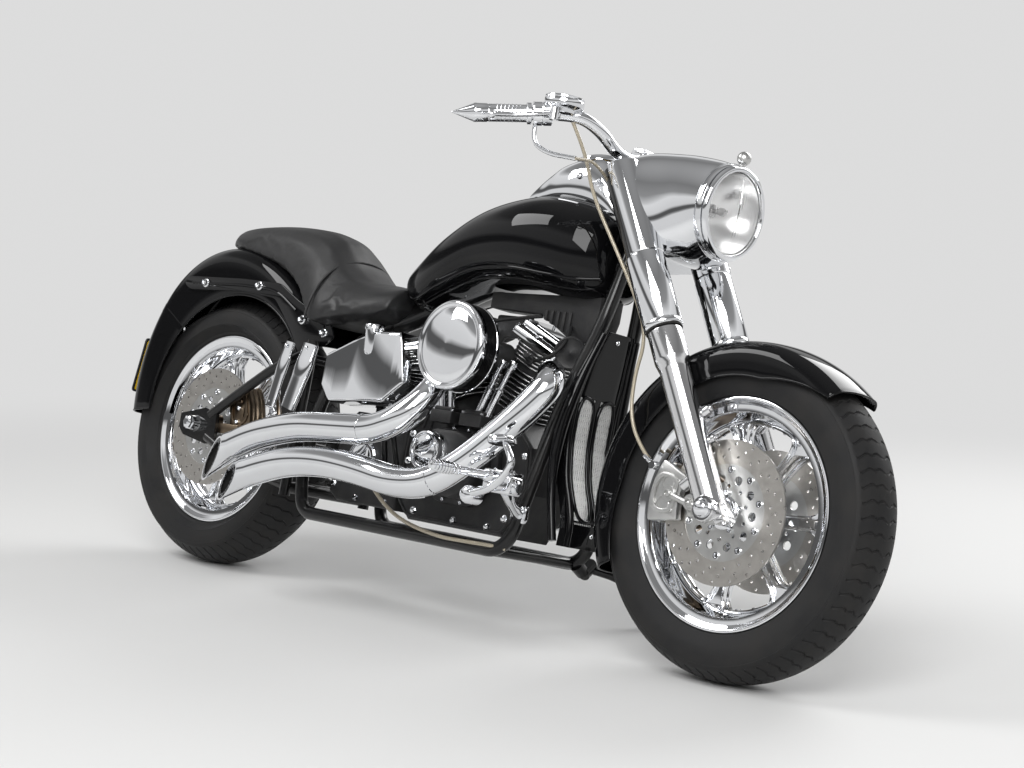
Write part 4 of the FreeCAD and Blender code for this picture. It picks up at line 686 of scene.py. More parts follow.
def rim_shape(half):
    """Bright rim: rolled lips, deep barrel with its bolts, spoked web and hub."""
    side = [(RIM_RADIUS - 1, half + 1.5), (RIM_RADIUS + 1.5, half + 0.5), (RIM_RADIUS + 1.5, half - 2),
            (RIM_RADIUS - 2, half - 4), (BEAD_RADIUS + 1, half - 5), (BEAD_RADIUS + 1, half - 16)]
    back = side + [(r, -y) for r, y in reversed(side)]
    inside = [(RIM_RADIUS - 3.5, half + 1.2), (RIM_RADIUS - 7, half - 1), (RIM_RADIUS - 13, half - 4),
              (RIM_RADIUS - 21, half - 9), (RIM_RADIUS - 26, half - 10), (RIM_RADIUS - 28, half - 13),
              (RIM_RADIUS - 31, half - 22), (194, 16), (194, 8)]
    front = [back[0]] + rounded(inside, 4, 3)
    barrel = lathe(list(reversed(front)) + back[1:] + [(r, -y) for r, y in front[1:]], 128)
    windows = [turned_loop(window_loop(), SPOKE_PHASE + turn) for turn in turns(SPOKES)]
    web = cut_plate([ring_loop(195, 96), ring_loop(30, 48)] + windows, 15, 1.5)
    beads = [tube([(x, y, height) for x, y in loop], 4.2, 8, closed=True, up=UP, squash=(1.25, 0.9))
             for loop in windows for height in (-9, 9)]
    hub = lathe([(30, -half + 6), (44, -half + 8), (46, -30), (40, -20), (58, -8), (62, 0),
                 (58, 8), (40, 20), (46, 30), (44, half - 8), (30, half - 6)], 64)
    heads = copies(dome_bolt(4.2, 4.5), [stood((*polar(187, turn), 8 * sign), UP * sign)
                                         for turn in turns(RIM_BOLTS, 0.5) for sign in (-1, 1)])
    return barrel + web + total(beads) + hub + heads


def disc_shapes():
    """Floating disc: drilled ring, carrier with big and small holes, and bobbins with screws."""
    drilled = [ring_loop(3.2, 12, polar(reach, turn))
               for reach, shift in ((138, 0), (125, 0.35), (111, 0.7)) for turn in turns(DRILLINGS, shift)]
    ring = cut_plate([ring_loop(DISC_RADIUS, 128), ring_loop(CARRIER_RADIUS, 96)] + drilled, 5)
    holes = [ring_loop(24, 48)]
    for turn in turns(BOBBINS):
        holes.append(ring_loop(9.4, 20, polar(69, turn)))
        holes.append(ring_loop(4.6, 14, polar(53, turn + pi / BOBBINS)))
    carrier = cut_plate([ring_loop(CARRIER_RADIUS + 3, 96)] + holes, 4.2)
    bobbin = lathe([(7.6, 0), (7.6, 2.6), (6.6, 3.4), (4.4, 3.4), (3.8, 1.2), (0, 1.2)], 20)
    heads = (copies(bobbin, [by(*polar(86, turn), 2) for turn in turns(BOBBINS, 0.5)])
             + copies(socket_bolt(6, 6), [by(*polar(40, turn), 2) for turn in turns(DISC_SCREWS, 0.25)])
             + lathe([(24, -6), (34, -2), (34, 4), (30, 7), (22, 7), (19.2, 5), (19.2, -6)], 32))
    return ring, carrier, heads


def make_discs():
    ring, carrier, heads = disc_shapes()
    front = [disc_place(FRONT_DISC_SIDE * sign, FRONT_AXLE) for sign in (-1, 1)]
    add("front_disc_rings", copies(ring, front), "disc", "front_wheel", ["front_discs"], sharp=30)
    add("front_disc_carriers", copies(carrier, front), "machined", "front_wheel", sharp=30)
    add("front_disc_bobbins", copies(heads, front), "chrome", "front_wheel")
    rear = disc_place(-REAR_DISC_SIDE, REAR_AXLE)
    add("rear_disc_ring", ring.moved(rear), "disc", "rear_wheel", ["rear_disc"], sharp=30)
    add("rear_disc_carrier", carrier.moved(rear), "machined", "rear_wheel", sharp=30)
    add("rear_disc_bobbins", heads.moved(rear), "chrome", "rear_wheel")


def make_pulley():
    """Toothed belt pulley with open webs."""
    teeth = [polar(PULLEY_RADIUS - (2.4 if i % 4 in (2, 3) else 0), turn)
             for i, turn in enumerate(turns(PULLEY_TEETH * 4))]
    drum = cut_plate([teeth, ring_loop(92, 64)], 18)
    holes = [ring_loop(13, 24, polar(68, turn)) for turn in turns(7)]
    web = cut_plate([ring_loop(92.5, 64), ring_loop(24, 32)] + holes, 8, 1)
    flange = lathe([(90, -1.2), (109, -1.2), (109, 1.2), (90, 1.2)], 96)
    flanges = copies(flange, [by(0, 0, height) for height in (-10.6, 10.6)])
    hub = lathe([(19, -11), (36, -11), (38, -4), (38, 4), (34, 11), (19, 11)], 48)
    heads = copies(hex_bolt(6, 5), [by(*polar(30, turn), 9) for turn in turns(5)])
    shape = drum + web + flanges + hub + heads
    add("rear_sprocket", shape.moved(wheel_place(PULLEY_SIDE)), "polished", "rear_wheel", ["rear_pulley"])


def make_wheels():
    for label, axle, half, rim_half in (("front", FRONT_AXLE, FRONT_HALF, FRONT_RIM_HALF),
                                        ("rear", REAR_AXLE, REAR_HALF, REAR_RIM_HALF)):
        place, body = wheel_place(0, axle), label + "_wheel"
        add(label + "_tyre_tread", tyre_shape(half, rim_half).moved(place), "rubber", body,
            [label + "_tyre"], sharp=30)
        add(body, rim_shape(rim_half).moved(place), "chrome", body, [label + "_rim"])
    make_discs()
    make_pulley()


# Skins and bands that several pieces share


def sign_power(value, power):
    return abs(value) ** power * (1 if value > 0 else -1)


def section_point(x, half, low, widest, high, square, turn):
    tall = (high - widest) if sin(turn) > 0 else (widest - low)
    return x, half * sign_power(cos(turn), square), widest + tall * sign_power(sin(turn), square)


def section_ring(x, half, low, widest, high, square, count):
    """Rounded section across the machine: half width, underside, widest height and top."""
    return [section_point(x, half, low, widest, high, square, turn) for turn in turns(count, 0.5)]


def station_skin(stations, per_span, count):
    return lofted([section_ring(*row, count=count) for row in smooth_line(stations, per_span)])


def lathe_between(start, end, profile, segments):
    """Turned piece from one point towards another; profile heights run along the way."""
    return lathe(profile, segments).moved(stood(start, Vector(end) - Vector(start)))


def bar(start, end, radius, segments=32, bevel=1.0):
    """Round bar between two points, with broken edges."""
    length = (Vector(end) - Vector(start)).length
    return lathe_between(start, end, [(0, 0), (radius - bevel, 0), (radius, bevel),
                                      (radius, length - bevel), (radius - bevel, length),
                                      (0, length)], segments)


# Front fork


BOSS_FACE = 147
LUG_SIDE = 103
HALF_GAP = 17.3
COVER_RADIUS = 41
SLIDER_RADIUS = 31.5
SLEEVE_FOOT, SLEEVE_TOP = 567.4, 786


def leg_frame(side):
    """Matrix whose Z runs up a fork leg from the axle, with its X ahead and its Y to the left."""
    return stood(on_leg(0, 0, side), FORK_UP, FORK_AHEAD)


def slider_shape():
    """Right slider with its stepped top, axle clamp and bosses."""
    place = leg_frame(-LEG_SPREAD)
    r = SLIDER_RADIUS
    tube_part = lathe([(0, -24), (17, -24), (23, -22.5), (26.5, -18), (30.6, -13), (r, -9), (r, 306),
                       (r + 0.6, 309), (r + 2.4, 317), (r + 4.6, 326), (r + 5, 331), (r + 5, 391),
                       (r + 4.2, 394.5), (r + 1.5, 397), (r - 2, 397.6)], 64).moved(place)
    boss = bar(on_leg(0, 0, -BOSS_FACE), on_leg(0, 0, -88), 26, 48, 2)
    stay = bar(on_leg(196, 0, -105), on_leg(204, 44, -94), 11, 24, 1.5)
    stay_bolt = socket_bolt(6.4, 5).moved(stood(on_leg(204, 43.5, -94.2), on_leg(8, 44, 11) - on_leg(0)))
    low_stay = bar(on_leg(140, 0, -105), on_leg(142, 40, -97), 9, 24, 1.5)
    low_bolt = socket_bolt(5.2, 4).moved(stood(on_leg(142, 39.6, -97), FORK_AHEAD))
    lug = bar(on_leg(88, 0, -LUG_SIDE), on_leg(78, -60, -LUG_SIDE), 13, 24, 1.5)
    return tube_part + boss + stay + stay_bolt + low_stay + low_bolt + lug


def clamp_shape():
    """Axle clamp's split and pinch bolts at the foot of the right leg."""
    place = leg_frame(-LEG_SPREAD)
    block = soft_box((34, 46, 30), 4).moved(place @ by(16, 0, -14))
    cap = soft_box((22, 44, 13), 3).moved(place @ by(22, 0, -33))
    over = Matrix.Rotation(pi, 4, "X")
    return block + cap + copies(socket_bolt(5, 6), [place @ by(26, y, -39.5) @ over for y in (-13, 13)])


def make_sliders():
    add("fork_legs", (slider_shape() + clamp_shape()).both_sides(), "polished", "fork",
        ["fork_sliders"])
    seal = lathe([(33, 396), (38.6, 396), (38.6, 400), (33, 400)], 48).moved(leg_frame(-LEG_SPREAD))
    add("fork_seals", seal.both_sides(), "soot", "fork")
    r = COVER_RADIUS
    cover = lathe([(34, 399.4), (r - 2.6, 399.4), (r - 1.2, 400.6), (r, 403.5), (r, 411), (r - 0.6, 412),
                   (r, 413), (r, 562), (r - 0.5, 565.8), (r - 3, 566.8), (34, 566.8)], 64)
    add("fork_upper_covers", cover.moved(leg_frame(-LEG_SPREAD)).both_sides(), "chrome", "fork",
        ["fork_covers"])
    nut = lathe([(19, 0), (19, 3), (17.5, 4.5), (16.5, 8), (14.5, 11.5), (10.5, 14), (5, 15.3),
                 (0, 15.6)], 36).moved(stood(on_leg(0, 0, -BOSS_FACE - 0.2), RIGHT))
    spacer = bar(on_leg(0, 0, -84), on_leg(0, 0, -76.8), 18.5)
    axle = bar(on_leg(0, 0, -146), on_leg(0, 0, 0), 12.5)
    add("front_spindle", (nut + spacer + axle).both_sides(), "chrome", "fork", ["front_axle"])


def arc_block(inner, outer, half_angle):
    """Outline of a caliper half about the wheel's own centre, middle at angle zero."""
    loop = [polar(inner, radians(turn)) for turn in spread(-half_angle, half_angle, 12)]
    loop += [polar(outer, radians(turn) * 0.82) for turn in spread(half_angle, -half_angle, 12)]
    return rounded(loop, 5, 2, closed=True)


def caliper_shapes(axle, angle, disc_side, half_angle):
    """Outer and inner halves of a caliper on the right, at an angle about the axle."""
    ahead = Vector((cos(radians(angle)), 0, sin(radians(angle))))

    def place(lift, reach=0.0):
        return stood(axle + RIGHT * (disc_side + lift) + ahead * reach, RIGHT, ahead)

    block = cut_plate([arc_block(101, 176, half_angle)], 18.6, 4)
    ridge = cut_plate([rounded([(108, -34), (140, -44), (168, -34), (172, 0), (168, 34), (140, 44),
                                (108, 34), (106, 0)], 20, 3, closed=True),
                       rounded([(118, -28), (140, -34), (158, -26), (162, 0), (158, 26), (140, 34),
                                (118, 28), (114, 0)], 18, 3, closed=True)], 5, 1.6).moved(place(28))
    pot = lathe([(17, 0), (17, 2.4), (15, 4), (12.4, 4), (11.6, 2.2), (0, 2.2)], 32)
    pots = copies(pot, [place(25.8, 135) @ by(0, y, 0) for y in (-21, 21)])
    heads = copies(socket_bolt(5, 4), [place(26, reach) @ by(0, y * sign, 0)
                                       for reach, y in ((112, 30), (165, 22)) for sign in (-1, 1)])
    bridge = cut_plate([arc_block(155, 175, half_angle * 0.92)], 17, 1).moved(place(0))
    outer, inner = block.moved(place(HALF_GAP)), block.moved(place(-HALF_GAP))
    return outer + ridge + pots + heads + bridge, inner


def make_calipers():
    bright, inner = caliper_shapes(FRONT_AXLE, 172, FRONT_DISC_SIDE, 26)
    lug = (bar(on_leg(40, -58, -LUG_SIDE), on_leg(78, -96, -LUG_SIDE), 8, 20)
           + bar(on_leg(4, -20, -LUG_SIDE), on_leg(40, -56, -LUG_SIDE), 10, 20))
    for reach, back in ((40, -52), (78, -96)):
        face, root = on_leg(reach, back, -LEG_SPREAD + 6), on_leg(reach, back, -LEG_SPREAD + 18)
        lug += bar(face, root, 16, 24) + socket_bolt(8, 6).moved(stood(face, RIGHT))
    add("front_caliper_bodies", (bright + lug).both_sides(), "machined", "fork", ["front_calipers"])
    add("front_caliper_backs", inner.both_sides(), "bronze", "fork")


# Lamp and nacelle


LAMP_AT = Vector((1428, 0, 947))
LAMP_TILT = radians(4)
LAMP_AXIS = Vector((cos(LAMP_TILT), 0, -sin(LAMP_TILT)))
LENS_RADIUS, LENS_RISE, LENS_BULGE, FLUTE_STEP = 85.6, 33, 11, 8.5


def leg_plane_x(height):
    """How far ahead the plane through both fork legs lies at a height."""
    return WHEEL_BASE - (height - AXLE_HEIGHT) * sin(RAKE) / cos(RAKE)


NACELLE_STATIONS = [
    # share of the way back, half width, underside, widest height, top, squareness
    (0.0, 98, 849, 947, 1045, 1.0), (0.1, 103, 842, 947, 1052, 0.98),
    (0.25, 109, 833, 946, 1058, 0.94), (0.45, 117, 828, 944, 1062, 0.88),
    (0.75, 133, 828, 942, 1060, 0.78), (1.0, 143, 836, 942, 1046, 0.72)]


def nacelle_ring(row):
    share = row[0]
    ring = []
    for _, y, z in section_ring(0, *row[1:], count=64):
        front = LAMP_AT.x + (z - LAMP_AT.z) * sin(LAMP_TILT)
        ring.append(((1 - share) * front + share * (leg_plane_x(z) + 2), y, z))
    return ring


def make_nacelle():
    """Lamp housing that flares back to the fork, with sleeves down each leg."""
    rows = [nacelle_ring(row) for row in smooth_line(NACELLE_STATIONS, 6)]
    hood = thickened(lofted(rows, closed_ends=False), 2.4)
    low, high, r = SLEEVE_FOOT, SLEEVE_TOP, COVER_RADIUS
    profile = [(r - 2, low), (r + 0.2, low + 1.6), (r + 0.5, low + 4), (r + 0.5, high - 3), (r - 2, high)]
    sleeve = thickened(lathe(profile, 40, radians(-97), radians(97)), 2).moved(leg_frame(-LEG_SPREAD))
    back = bar(on_leg(low + 2, -6, -LEG_SPREAD), on_leg(high - 2, -6, -LEG_SPREAD), 33, 40)
    screw = dome_bolt(5, 4).moved(stood(on_leg(590, 27, -LEG_SPREAD - 33),
                                        FORK_AHEAD * 0.62 + RIGHT * 0.78))
    add("lamp_nacelle", hood + sleeve.both_sides() + screw.both_sides(), "chrome", "fork",
        ["nacelle"])
    add("fork_sleeve_backs", back.both_sides(), "frame", "fork")
    collar = thickened(lathe([(99.6, -3), (101.6, -1.2), (102.4, 1.5)], 96), 1.2)
    add("lamp_collar", collar.moved(stood(LAMP_AT, LAMP_AXIS, UP)), "chrome", "fork")


def make_lamp():
    """Bezel in two steps, fluted lens, bowl and bulb."""
    place = stood(LAMP_AT, LAMP_AXIS, UP)
    bezel = lathe([(97, 1.0), (101.2, 1.0), (102, 3), (102, 13.5), (100.8, 15.4), (98.4, 15.8),
                   (98.2, 14), (96.4, 14), (96.4, 17.5), (98.6, 17.5), (99.4, 19), (98.6, 22.5),
                   (95.5, 26), (91, 27.8), (87.8, 27), (86.2, 24.4), (LENS_RADIUS, 20),
                   (LENS_RADIUS, 6)], 128)
    add("lamp_bezel", bezel.moved(place), "chrome", "fork", ["lamp_ring"])
    rows = []
    for reach in spread(0, LENS_RADIUS, 16):
        rise = LENS_RISE - LENS_BULGE * (reach / LENS_RADIUS) ** 2
        row = []
        for turn in spread(0, 2 * pi, 96):
            rest, across = polar(reach, turn)
            flute = 0.7 * sin(across * 2 * pi / FLUTE_STEP) * min(1.0, (LENS_RADIUS - reach) / 10)
            row.append((rest, across, rise + flute))
        rows.append(row)
    lens = welded(thickened(sheet(rows), 2.4))
    add("lamp_glass", lens.moved(place), "glass", "fork", ["lamp_lens"], sharp=80)
    bowl = lathe([(85, 17), (84, 10), (76, -10), (62, -30), (44, -46), (26, -56), (14, -59),
                  (13, -58), (25, -54), (43, -44), (61, -28), (75, -9), (82.5, 10), (84, 17)], 96)
    add("lamp_bowl", bowl.moved(place), "reflector", "fork")
    bulb = lathe([(0, 0.1), (6, -2), (8.5, -8), (8.5, -16), (5, -24), (5, -34), (14, -36), (14, -57),
                  (0, -57)], 32)
    add("lamp_bulb", bulb.moved(place), "fin_edge", "fork")


# Fenders

HOOD_POINTS = 17
FENDER_WALL = 2.6


def edge_reach(angle, centre, cuts, least):
    """Distance of a fender's skirt edge from its centre: the outermost of the round cuts."""
    way = Vector((cos(angle), sin(angle)))
    reach = least
    for x, z, radius in cuts:
        offset = Vector((x - centre[0], z - centre[1]))
        along = offset.dot(way)
        inside = radius ** 2 - offset.length_squared + along ** 2
        if inside > 0:
            reach = max(reach, along + sqrt(inside))
    return reach


def hood_half(half, radius, bend, start):
    """One half of a fender's section, from its skirt edge up to the middle, as (y, reach)."""
    drop = 5
    flat_top = radius - bend - drop
    points = []
    first = 0.0
    if start < flat_top - 1:
        points += [(half, start + (flat_top - start) * t) for t in (0, 0.34, 0.67)]
    else:
        first = asin(min(max((start - flat_top) / bend, 0), 0.9))
    points += [polar(bend, turn, (half - bend, flat_top)) for turn in spread(first, radians(72), 10)]
    last_y, last_r = points[-1]
    for t in (0.3, 0.65, 1.0):
        points.append((last_y * (1 - t), last_r + (radius - last_r) * (1 - (1 - t) ** 2)))
    while len(points) < HOOD_POINTS:
        points.insert(1, tuple((a + b) / 2 for a, b in zip(points[0], points[1])))
    return points


def fender_rows(path, half, bend, cuts, depth):
    """Rows across a fender for (centre, radius, angle) stops along it, and its edge points."""
    rows, edge = [], []
    for centre, radius, angle in path:
        start = edge_reach(angle, centre, cuts, radius - depth)
        side = hood_half(half, radius, bend, start)
        place = [(centre[0] + r * cos(angle), -y, centre[1] + r * sin(angle)) for y, r in side]
        rows.append(place + [(x, -y, z) for x, y, z in reversed(place[:-1])])
        edge.append(place[0])
    return rows, edge


def fender_shape(path, half, bend, cuts, depth, bead_radius):
    """Fender shell with a bead along its skirts and tips, and the rows it is made of."""
    inset = FENDER_WALL / 2 + 0.1
    inner = [(centre, radius - inset, angle) for centre, radius, angle in path]
    rows, edge = fender_rows(inner, half - inset, bend, cuts, depth)
    tips = [tube(rows[k], 2.6, 8) for k in (0, -1)]
    shell = thickened(sheet(rows), FENDER_WALL, 1.0)
    return shell + tube(edge, bead_radius, 8).both_sides() + total(tips), rows


def make_front_fender():
    centre = (WHEEL_BASE - 6, AXLE_HEIGHT + 4)
    radius, half = 349, 82
    cuts = [(WHEEL_BASE + a, AXLE_HEIGHT + b, 268 + c)
            for a, b, c in ((-5, 6, 0), (80, -42, 48), (10, -40, 22))]
    path = [(centre, radius, radians(angle)) for angle in spread(50, 208, 72)]
    shape, _ = fender_shape(path, half, 34, cuts, 150, 3.0)
    add("front_mudguard", shape, "paint", "fork", ["front_fender"], sharp=50)
    pads = bar(on_leg(290, 0, -95), on_leg(290, 0, -82.4), 12, 24)
    add("mudguard_pads", pads.both_sides(), "polished", "fork")


# Handlebar and hand controls


BAR_RIGHT = [(1214, -40, 1032), (1214, -92, 1032), (1219, -140, 1038), (1219, -192, 1066),
             (1200, -236, 1086), (1160, -268, 1084), (1128, -300, 1076)]
GRIP_END = Vector((1024, -412, 1049))


def along_grip(reach):
    """Point on the right grip's middle line, so far out from the bar's end bend."""
    inner = Vector(BAR_RIGHT[-1])
    return inner + (GRIP_END - inner).normalized() * reach


GRIP_WAY = along_grip(1) - along_grip(0)


def on_grip(reach, ahead, left, up):
    """Point beside the right grip, so far along it and off its middle."""
    return along_grip(reach) + Vector((ahead, left, up))


def make_handlebar():
    """Bent bar on two risers with their clamps and bolts."""
    half = [Vector(p) for p in BAR_RIGHT[1:]] + [along_grip(118)]
    points = [(p.x, -p.y, p.z) for p in reversed(half)] + [tuple(p) for p in half]
    bar_tube = tube(rounded(points, 26, 6), 14, 24)
    risers = []
    for side in (-52, 52):
        top = Vector((BAR_RIGHT[0][0], side, BAR_RIGHT[0][2]))
        foot = on_leg(742 + 15.3, -STEM_SETBACK + 36, side)
        length = (top - foot).length
        risers.append(lathe_between(foot, top, [(0, 0), (21, 0), (22, 2), (21, 7), (17.5, 12),
                                                (16.5, length * 0.5), (17.5, length)], 36))
        risers.append(bar(top - LEFT * 18, top + LEFT * 18, 25, 48, 3))
        way = (top - foot).normalized()
        for shift in (-15, 15):
            risers.append(dome_bolt(5, 4).moved(stood(top + way * 24 + FORK_AHEAD * shift * 0.8
                                                      - way * abs(shift) * 0.3, way)))
    add("bars_and_risers", bar_tube + total(risers), "chrome", "fork", ["handlebar"])


def make_grips():
    profile = [(15, 10), (21.5, 10), (23, 11.5), (23, 18.5), (21.5, 20), (19, 20.6), (18.6, 22),
               (18.6, 60), (19, 96), (19.4, 97.5), (18.6, 99), (18.6, 101), (20, 103), (20, 120),
               (20.6, 126), (20.2, 129), (19, 131), (2.2, 173), (0.8, 175.6), (0, 176)]
    sleeve = lathe(profile, 40).moved(stood(along_grip(0), GRIP_WAY))
    ring = lathe([(18.4, -1.3), (19.5, -0.5), (19.5, 0.5), (18.4, 1.3)], 40)
    rings = copies(ring, [stood(along_grip(reach), GRIP_WAY) for reach in range(34, 83, 8)])
    add("hand_grips", (sleeve + rings).both_sides(), "chrome", "fork", ["grips"])


def lever_shape():
    points = [on_grip(-8, 44, -4, 0), on_grip(40, 60, 0, -2),
              on_grip(90, 56, 0, -4), on_grip(138, 70, 0, -4)]
    return (tube(rounded(points, 30, 5), 5.6, 16, squash=(0.8, 1.3), up=UP)
            + ball(8.5, on_grip(142, 71, 0, -4), rows=10))


def make_hand_controls():
    """Levers, housings, brake reservoir, throttle cable, riser cover and the hood's marker."""
    place = stood(along_grip(0), GRIP_WAY)
    housing = lathe([(14.4, -33), (23, -33), (25.2, -31), (25.2, -15), (24.4, -14), (24.4, -12),
                     (25.2, -11), (25.2, 5), (23, 7.4), (14.4, 7.4)], 44).moved(place)
    body = bar(on_grip(-30, 26, 0, 6), on_grip(6, 26, 0, 6), 15, 32, 2)
    pivot = bar(on_grip(-8, 44, -4, -14), on_grip(-8, 44, -4, 14), 10, 28, 1.5)
    pin = dome_bolt(5, 3).moved(stood(on_grip(-8, 44, -4, 14), UP))
    buttons = soft_box((14, 12, 10), 2).moved(stood(on_grip(-14, -16, 10, 14), UP))
    common = housing + body + pivot + pin + lever_shape() + buttons
    cup_at = on_grip(-44, 20, -6, 10)
    cup = lathe([(0, -13), (22, -13), (26, -10), (27, -3), (36, 0), (41, 3), (42, 6), (42, 16),
                 (41, 17.5), (42, 19), (41.6, 22), (39, 23.8), (33, 24), (31, 22.6), (0, 22.6)], 56)
    screws = copies(dome_bolt(3, 2), [by(*polar(34.5, turn), 23.4) for turn in (0.6, 2.2, 3.7, 5.3)])
    reservoir = (cup + screws).moved(Matrix.Translation(cup_at))
    add("hand_levers_and_housings", common + reservoir + common.mirrored(), "chrome", "fork",
        ["hand_controls"])
    elbow = [on_grip(-2, -4, 4, -20), on_grip(-2, 0, 4, -62),
             on_grip(-14, 30, 8, -82), on_grip(-30, 74, 20, -88)]
    add("throttle_elbow", tube(rounded(elbow, 26, 6), 5, 16), "chrome", "fork")
    target = Vector((1214, -136, 972))
    cable = [elbow[-1], elbow[-1].lerp(target, 0.5) + Vector((0, 0, 16)), target,
             (1226, -122, 938)]
    add("throttle_cable", tube(smooth_line(cable, 8), 3.4, 12), "braid", "fork")
    riser = [(1172, 1047), (1179, 1073), (1214, 1069), (1231, 1040)]
    cover = side_plate(rounded(riser, 9, 3, closed=True), 0, 86, 4)
    add("riser_cover", cover + bolts(dome_bolt(5, 4), [(1196, -43, 1058), (1206, -43, 1050)], RIGHT),
        "chrome", "fork")
    egg = ball(15, (1450, 0, 1062)) + bar((1446, 0, 1040), (1449, 0, 1052), 7, 24)
    add("hood_marker", egg, "machined", "fork")


def hose_curve(name, points, radius, finish, body, replaces):
    """Braided hose as a smooth curve through its route."""
    curve = bpy.data.curves.new(name, "CURVE")
    curve.dimensions = "3D"
    curve.bevel_depth = radius * 0.001
    curve.bevel_resolution = 3
    curve.resolution_u = 10
    spline = curve.splines.new("NURBS")
    spline.points.add(len(points) - 1)
    for point, place in zip(spline.points, points):
        point.co = (*(MACHINE @ Vector(place)), 1)
    spline.order_u = 3
    spline.use_endpoint_u = True
    curve.materials.append(FINISHES[finish])
    piece = bpy.data.objects.new(name, curve)
    bpy.context.scene.collection.objects.link(piece)
    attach(piece, body)
    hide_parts(*replaces)


def make_brake_hose():
    route = [on_grip(-58, 14, 4, -2), (1204, -214, 1020), (1206, -172, 940),
             (1254, -138, 850), (1318, -112, 748), (1368, -106, 660), (1353, -106, 570),
             (1366, -106, 480), (1424, -104, 414), (1452, -102, 398)]
    hose_curve("front_brake_line", route, 4, "braid", "fork", ["brake_hose"])
    banjo = bar((1446, -96, 402), (1446, -112, 402), 9, 24) + bar((1418, -105, 418), (1446, -104, 402), 5.4)
    add("brake_line_end", banjo, "chrome", "fork")


def make_front():
    make_sliders()
    make_calipers()
    make_nacelle()
    make_lamp()
    make_front_fender()
    make_handlebar()
    make_grips()
    make_hand_controls()
    make_brake_hose()


# Tank, dash and seat


TANK_STATIONS = [
    # place along, half width, underside, widest height, top, squareness
    (576, 40, 706, 733, 752, 0.85), (584, 62, 699, 735, 766, 0.82), (640, 98, 676, 742, 802, 0.8),
    (730, 128, 706, 782, 868, 0.8), (840, 146, 742, 826, 926, 0.8), (960, 156, 748, 846, 955, 0.8),
    (1060, 150, 738, 846, 956, 0.8), (1134, 128, 736, 838, 938, 0.8), (1180, 86, 750, 830, 908, 0.85),
    (1188, 50, 770, 830, 884, 0.9)]


def tank_point(row, angle):
    """Point of the tank's skin at an angle about its middle, on the right."""
    x, y, z = section_point(*row, radians(angle))
    return x, -y, z


def make_tank():
    """Teardrop tank with its rolled lower rim, seam and two caps."""
    skin = station_skin(TANK_STATIONS, 8, 56)
    rows = smooth_line(TANK_STATIONS[1:-1], 8)
    rim = tube([tank_point(row, -38) for row in rows], 4.2, 10)
    seam = tube([tank_point(row, -56) for row in rows[4:-3]], 2.6, 8)
    add("fuel_tank", skin + rim.both_sides() + seam.both_sides(), "paint", "machine", ["tank"],
        sharp=60)
    cap = lathe([(30, -5), (30, 1), (28.5, 2.6), (26, 3), (25, 6), (21, 9), (12, 11), (0, 11.6)], 48)
    place = stood((838, -70, 902), (-0.32, -0.42, 0.85))
    add("fuel_caps", cap.moved(place).both_sides(), "chrome", "machine")


DASH_STATIONS = [
    (878, 14, 948, 952, 956, 0.85), (886, 26, 944, 954, 966, 0.82), (930, 50, 940, 960, 992, 0.8),
    (965, 61, 938, 968, 1016, 0.8), (1000, 69, 936, 976, 1036, 0.8), (1050, 71, 930, 984, 1049, 0.8),
    (1096, 65, 920, 984, 1048, 0.8), (1130, 53, 908, 966, 1014, 0.8), (1155, 36, 898, 934, 966, 0.82)]


def make_dash():
    """Bright console: rolled edge, instrument dial and switch knob."""
    skin = station_skin(DASH_STATIONS, 8, 48)
    dial_at = stood((1052, 0, 1046), (-0.22, 0, 0.975))
    ring = lathe([(50, -8), (50, 1), (48, 3.4), (45, 4.2), (43, 3.4), (42, 1)], 72).moved(dial_at)
    knob = lathe([(17, -6), (17, 3), (15, 5), (10, 5.6), (9, 9), (7, 10.6), (0, 11)], 36)
    knob = knob.moved(stood((972, 0, 1014), (-0.5, 0, 0.866)))
    bolt = dome_bolt(8, 7).moved(stood((1066, -69, 1000), (0.1, -0.9, 0.42)))
    add("dash_console", skin + ring + knob + bolt.both_sides(), "chrome", "machine",
        ["tank_dash"], sharp=60)
    glass = lathe([(43, 1.4), (30, 2.8), (14, 3.6), (0, 3.8), (0, 0.8), (43, -0.6)], 48)
    add("dial_glass", glass.moved(dial_at), "glass", "machine", sharp=80)
    face = lathe([(42.6, -0.8), (0, -0.8), (0, -3), (42.6, -3)], 48)
    marks = copies(soft_box((7, 1.4, 0.8), 0.2), [Matrix.Rotation(radians(angle), 4, "Z") @ by(34, 0, -0.6)
                                                  for angle in range(45, 316, 27)])
    add("dial_face", (face + marks).moved(dial_at), "plate", "machine")


SEAT_PRESSURE, SEAT_SWELL, CLOTH_FRAMES = 2.4, 6.0, 20
SEAT_STATIONS = [
    # place along, half width, underside, top
    (-112, 26, 802, 815), (-80, 60, 790, 838), (-20, 83, 782, 848), (80, 97, 766, 853),
    (180, 107, 740, 852), (256, 117, 694, 845), (312, 131, 642, 828), (350, 140, 612, 799),
    (398, 144, 618, 754), (452, 144, 628, 731), (530, 132, 646, 727), (582, 108, 668, 729)]
SADDLE_SIDE = [(1.0, 0.0), (1.0, 0.14), (0.95, 0.36), (0.84, 0.62), (0.62, 0.85), (0.3, 0.975)]


def saddle_ring(x, half, low, high):
    tall = high - low
    side = [(x, half * across, low + tall * up) for across, up in SADDLE_SIDE]
    return side + [(x, 0, high)] + [(x, -y, z) for _, y, z in reversed(side)] + [(x, 0, low)]


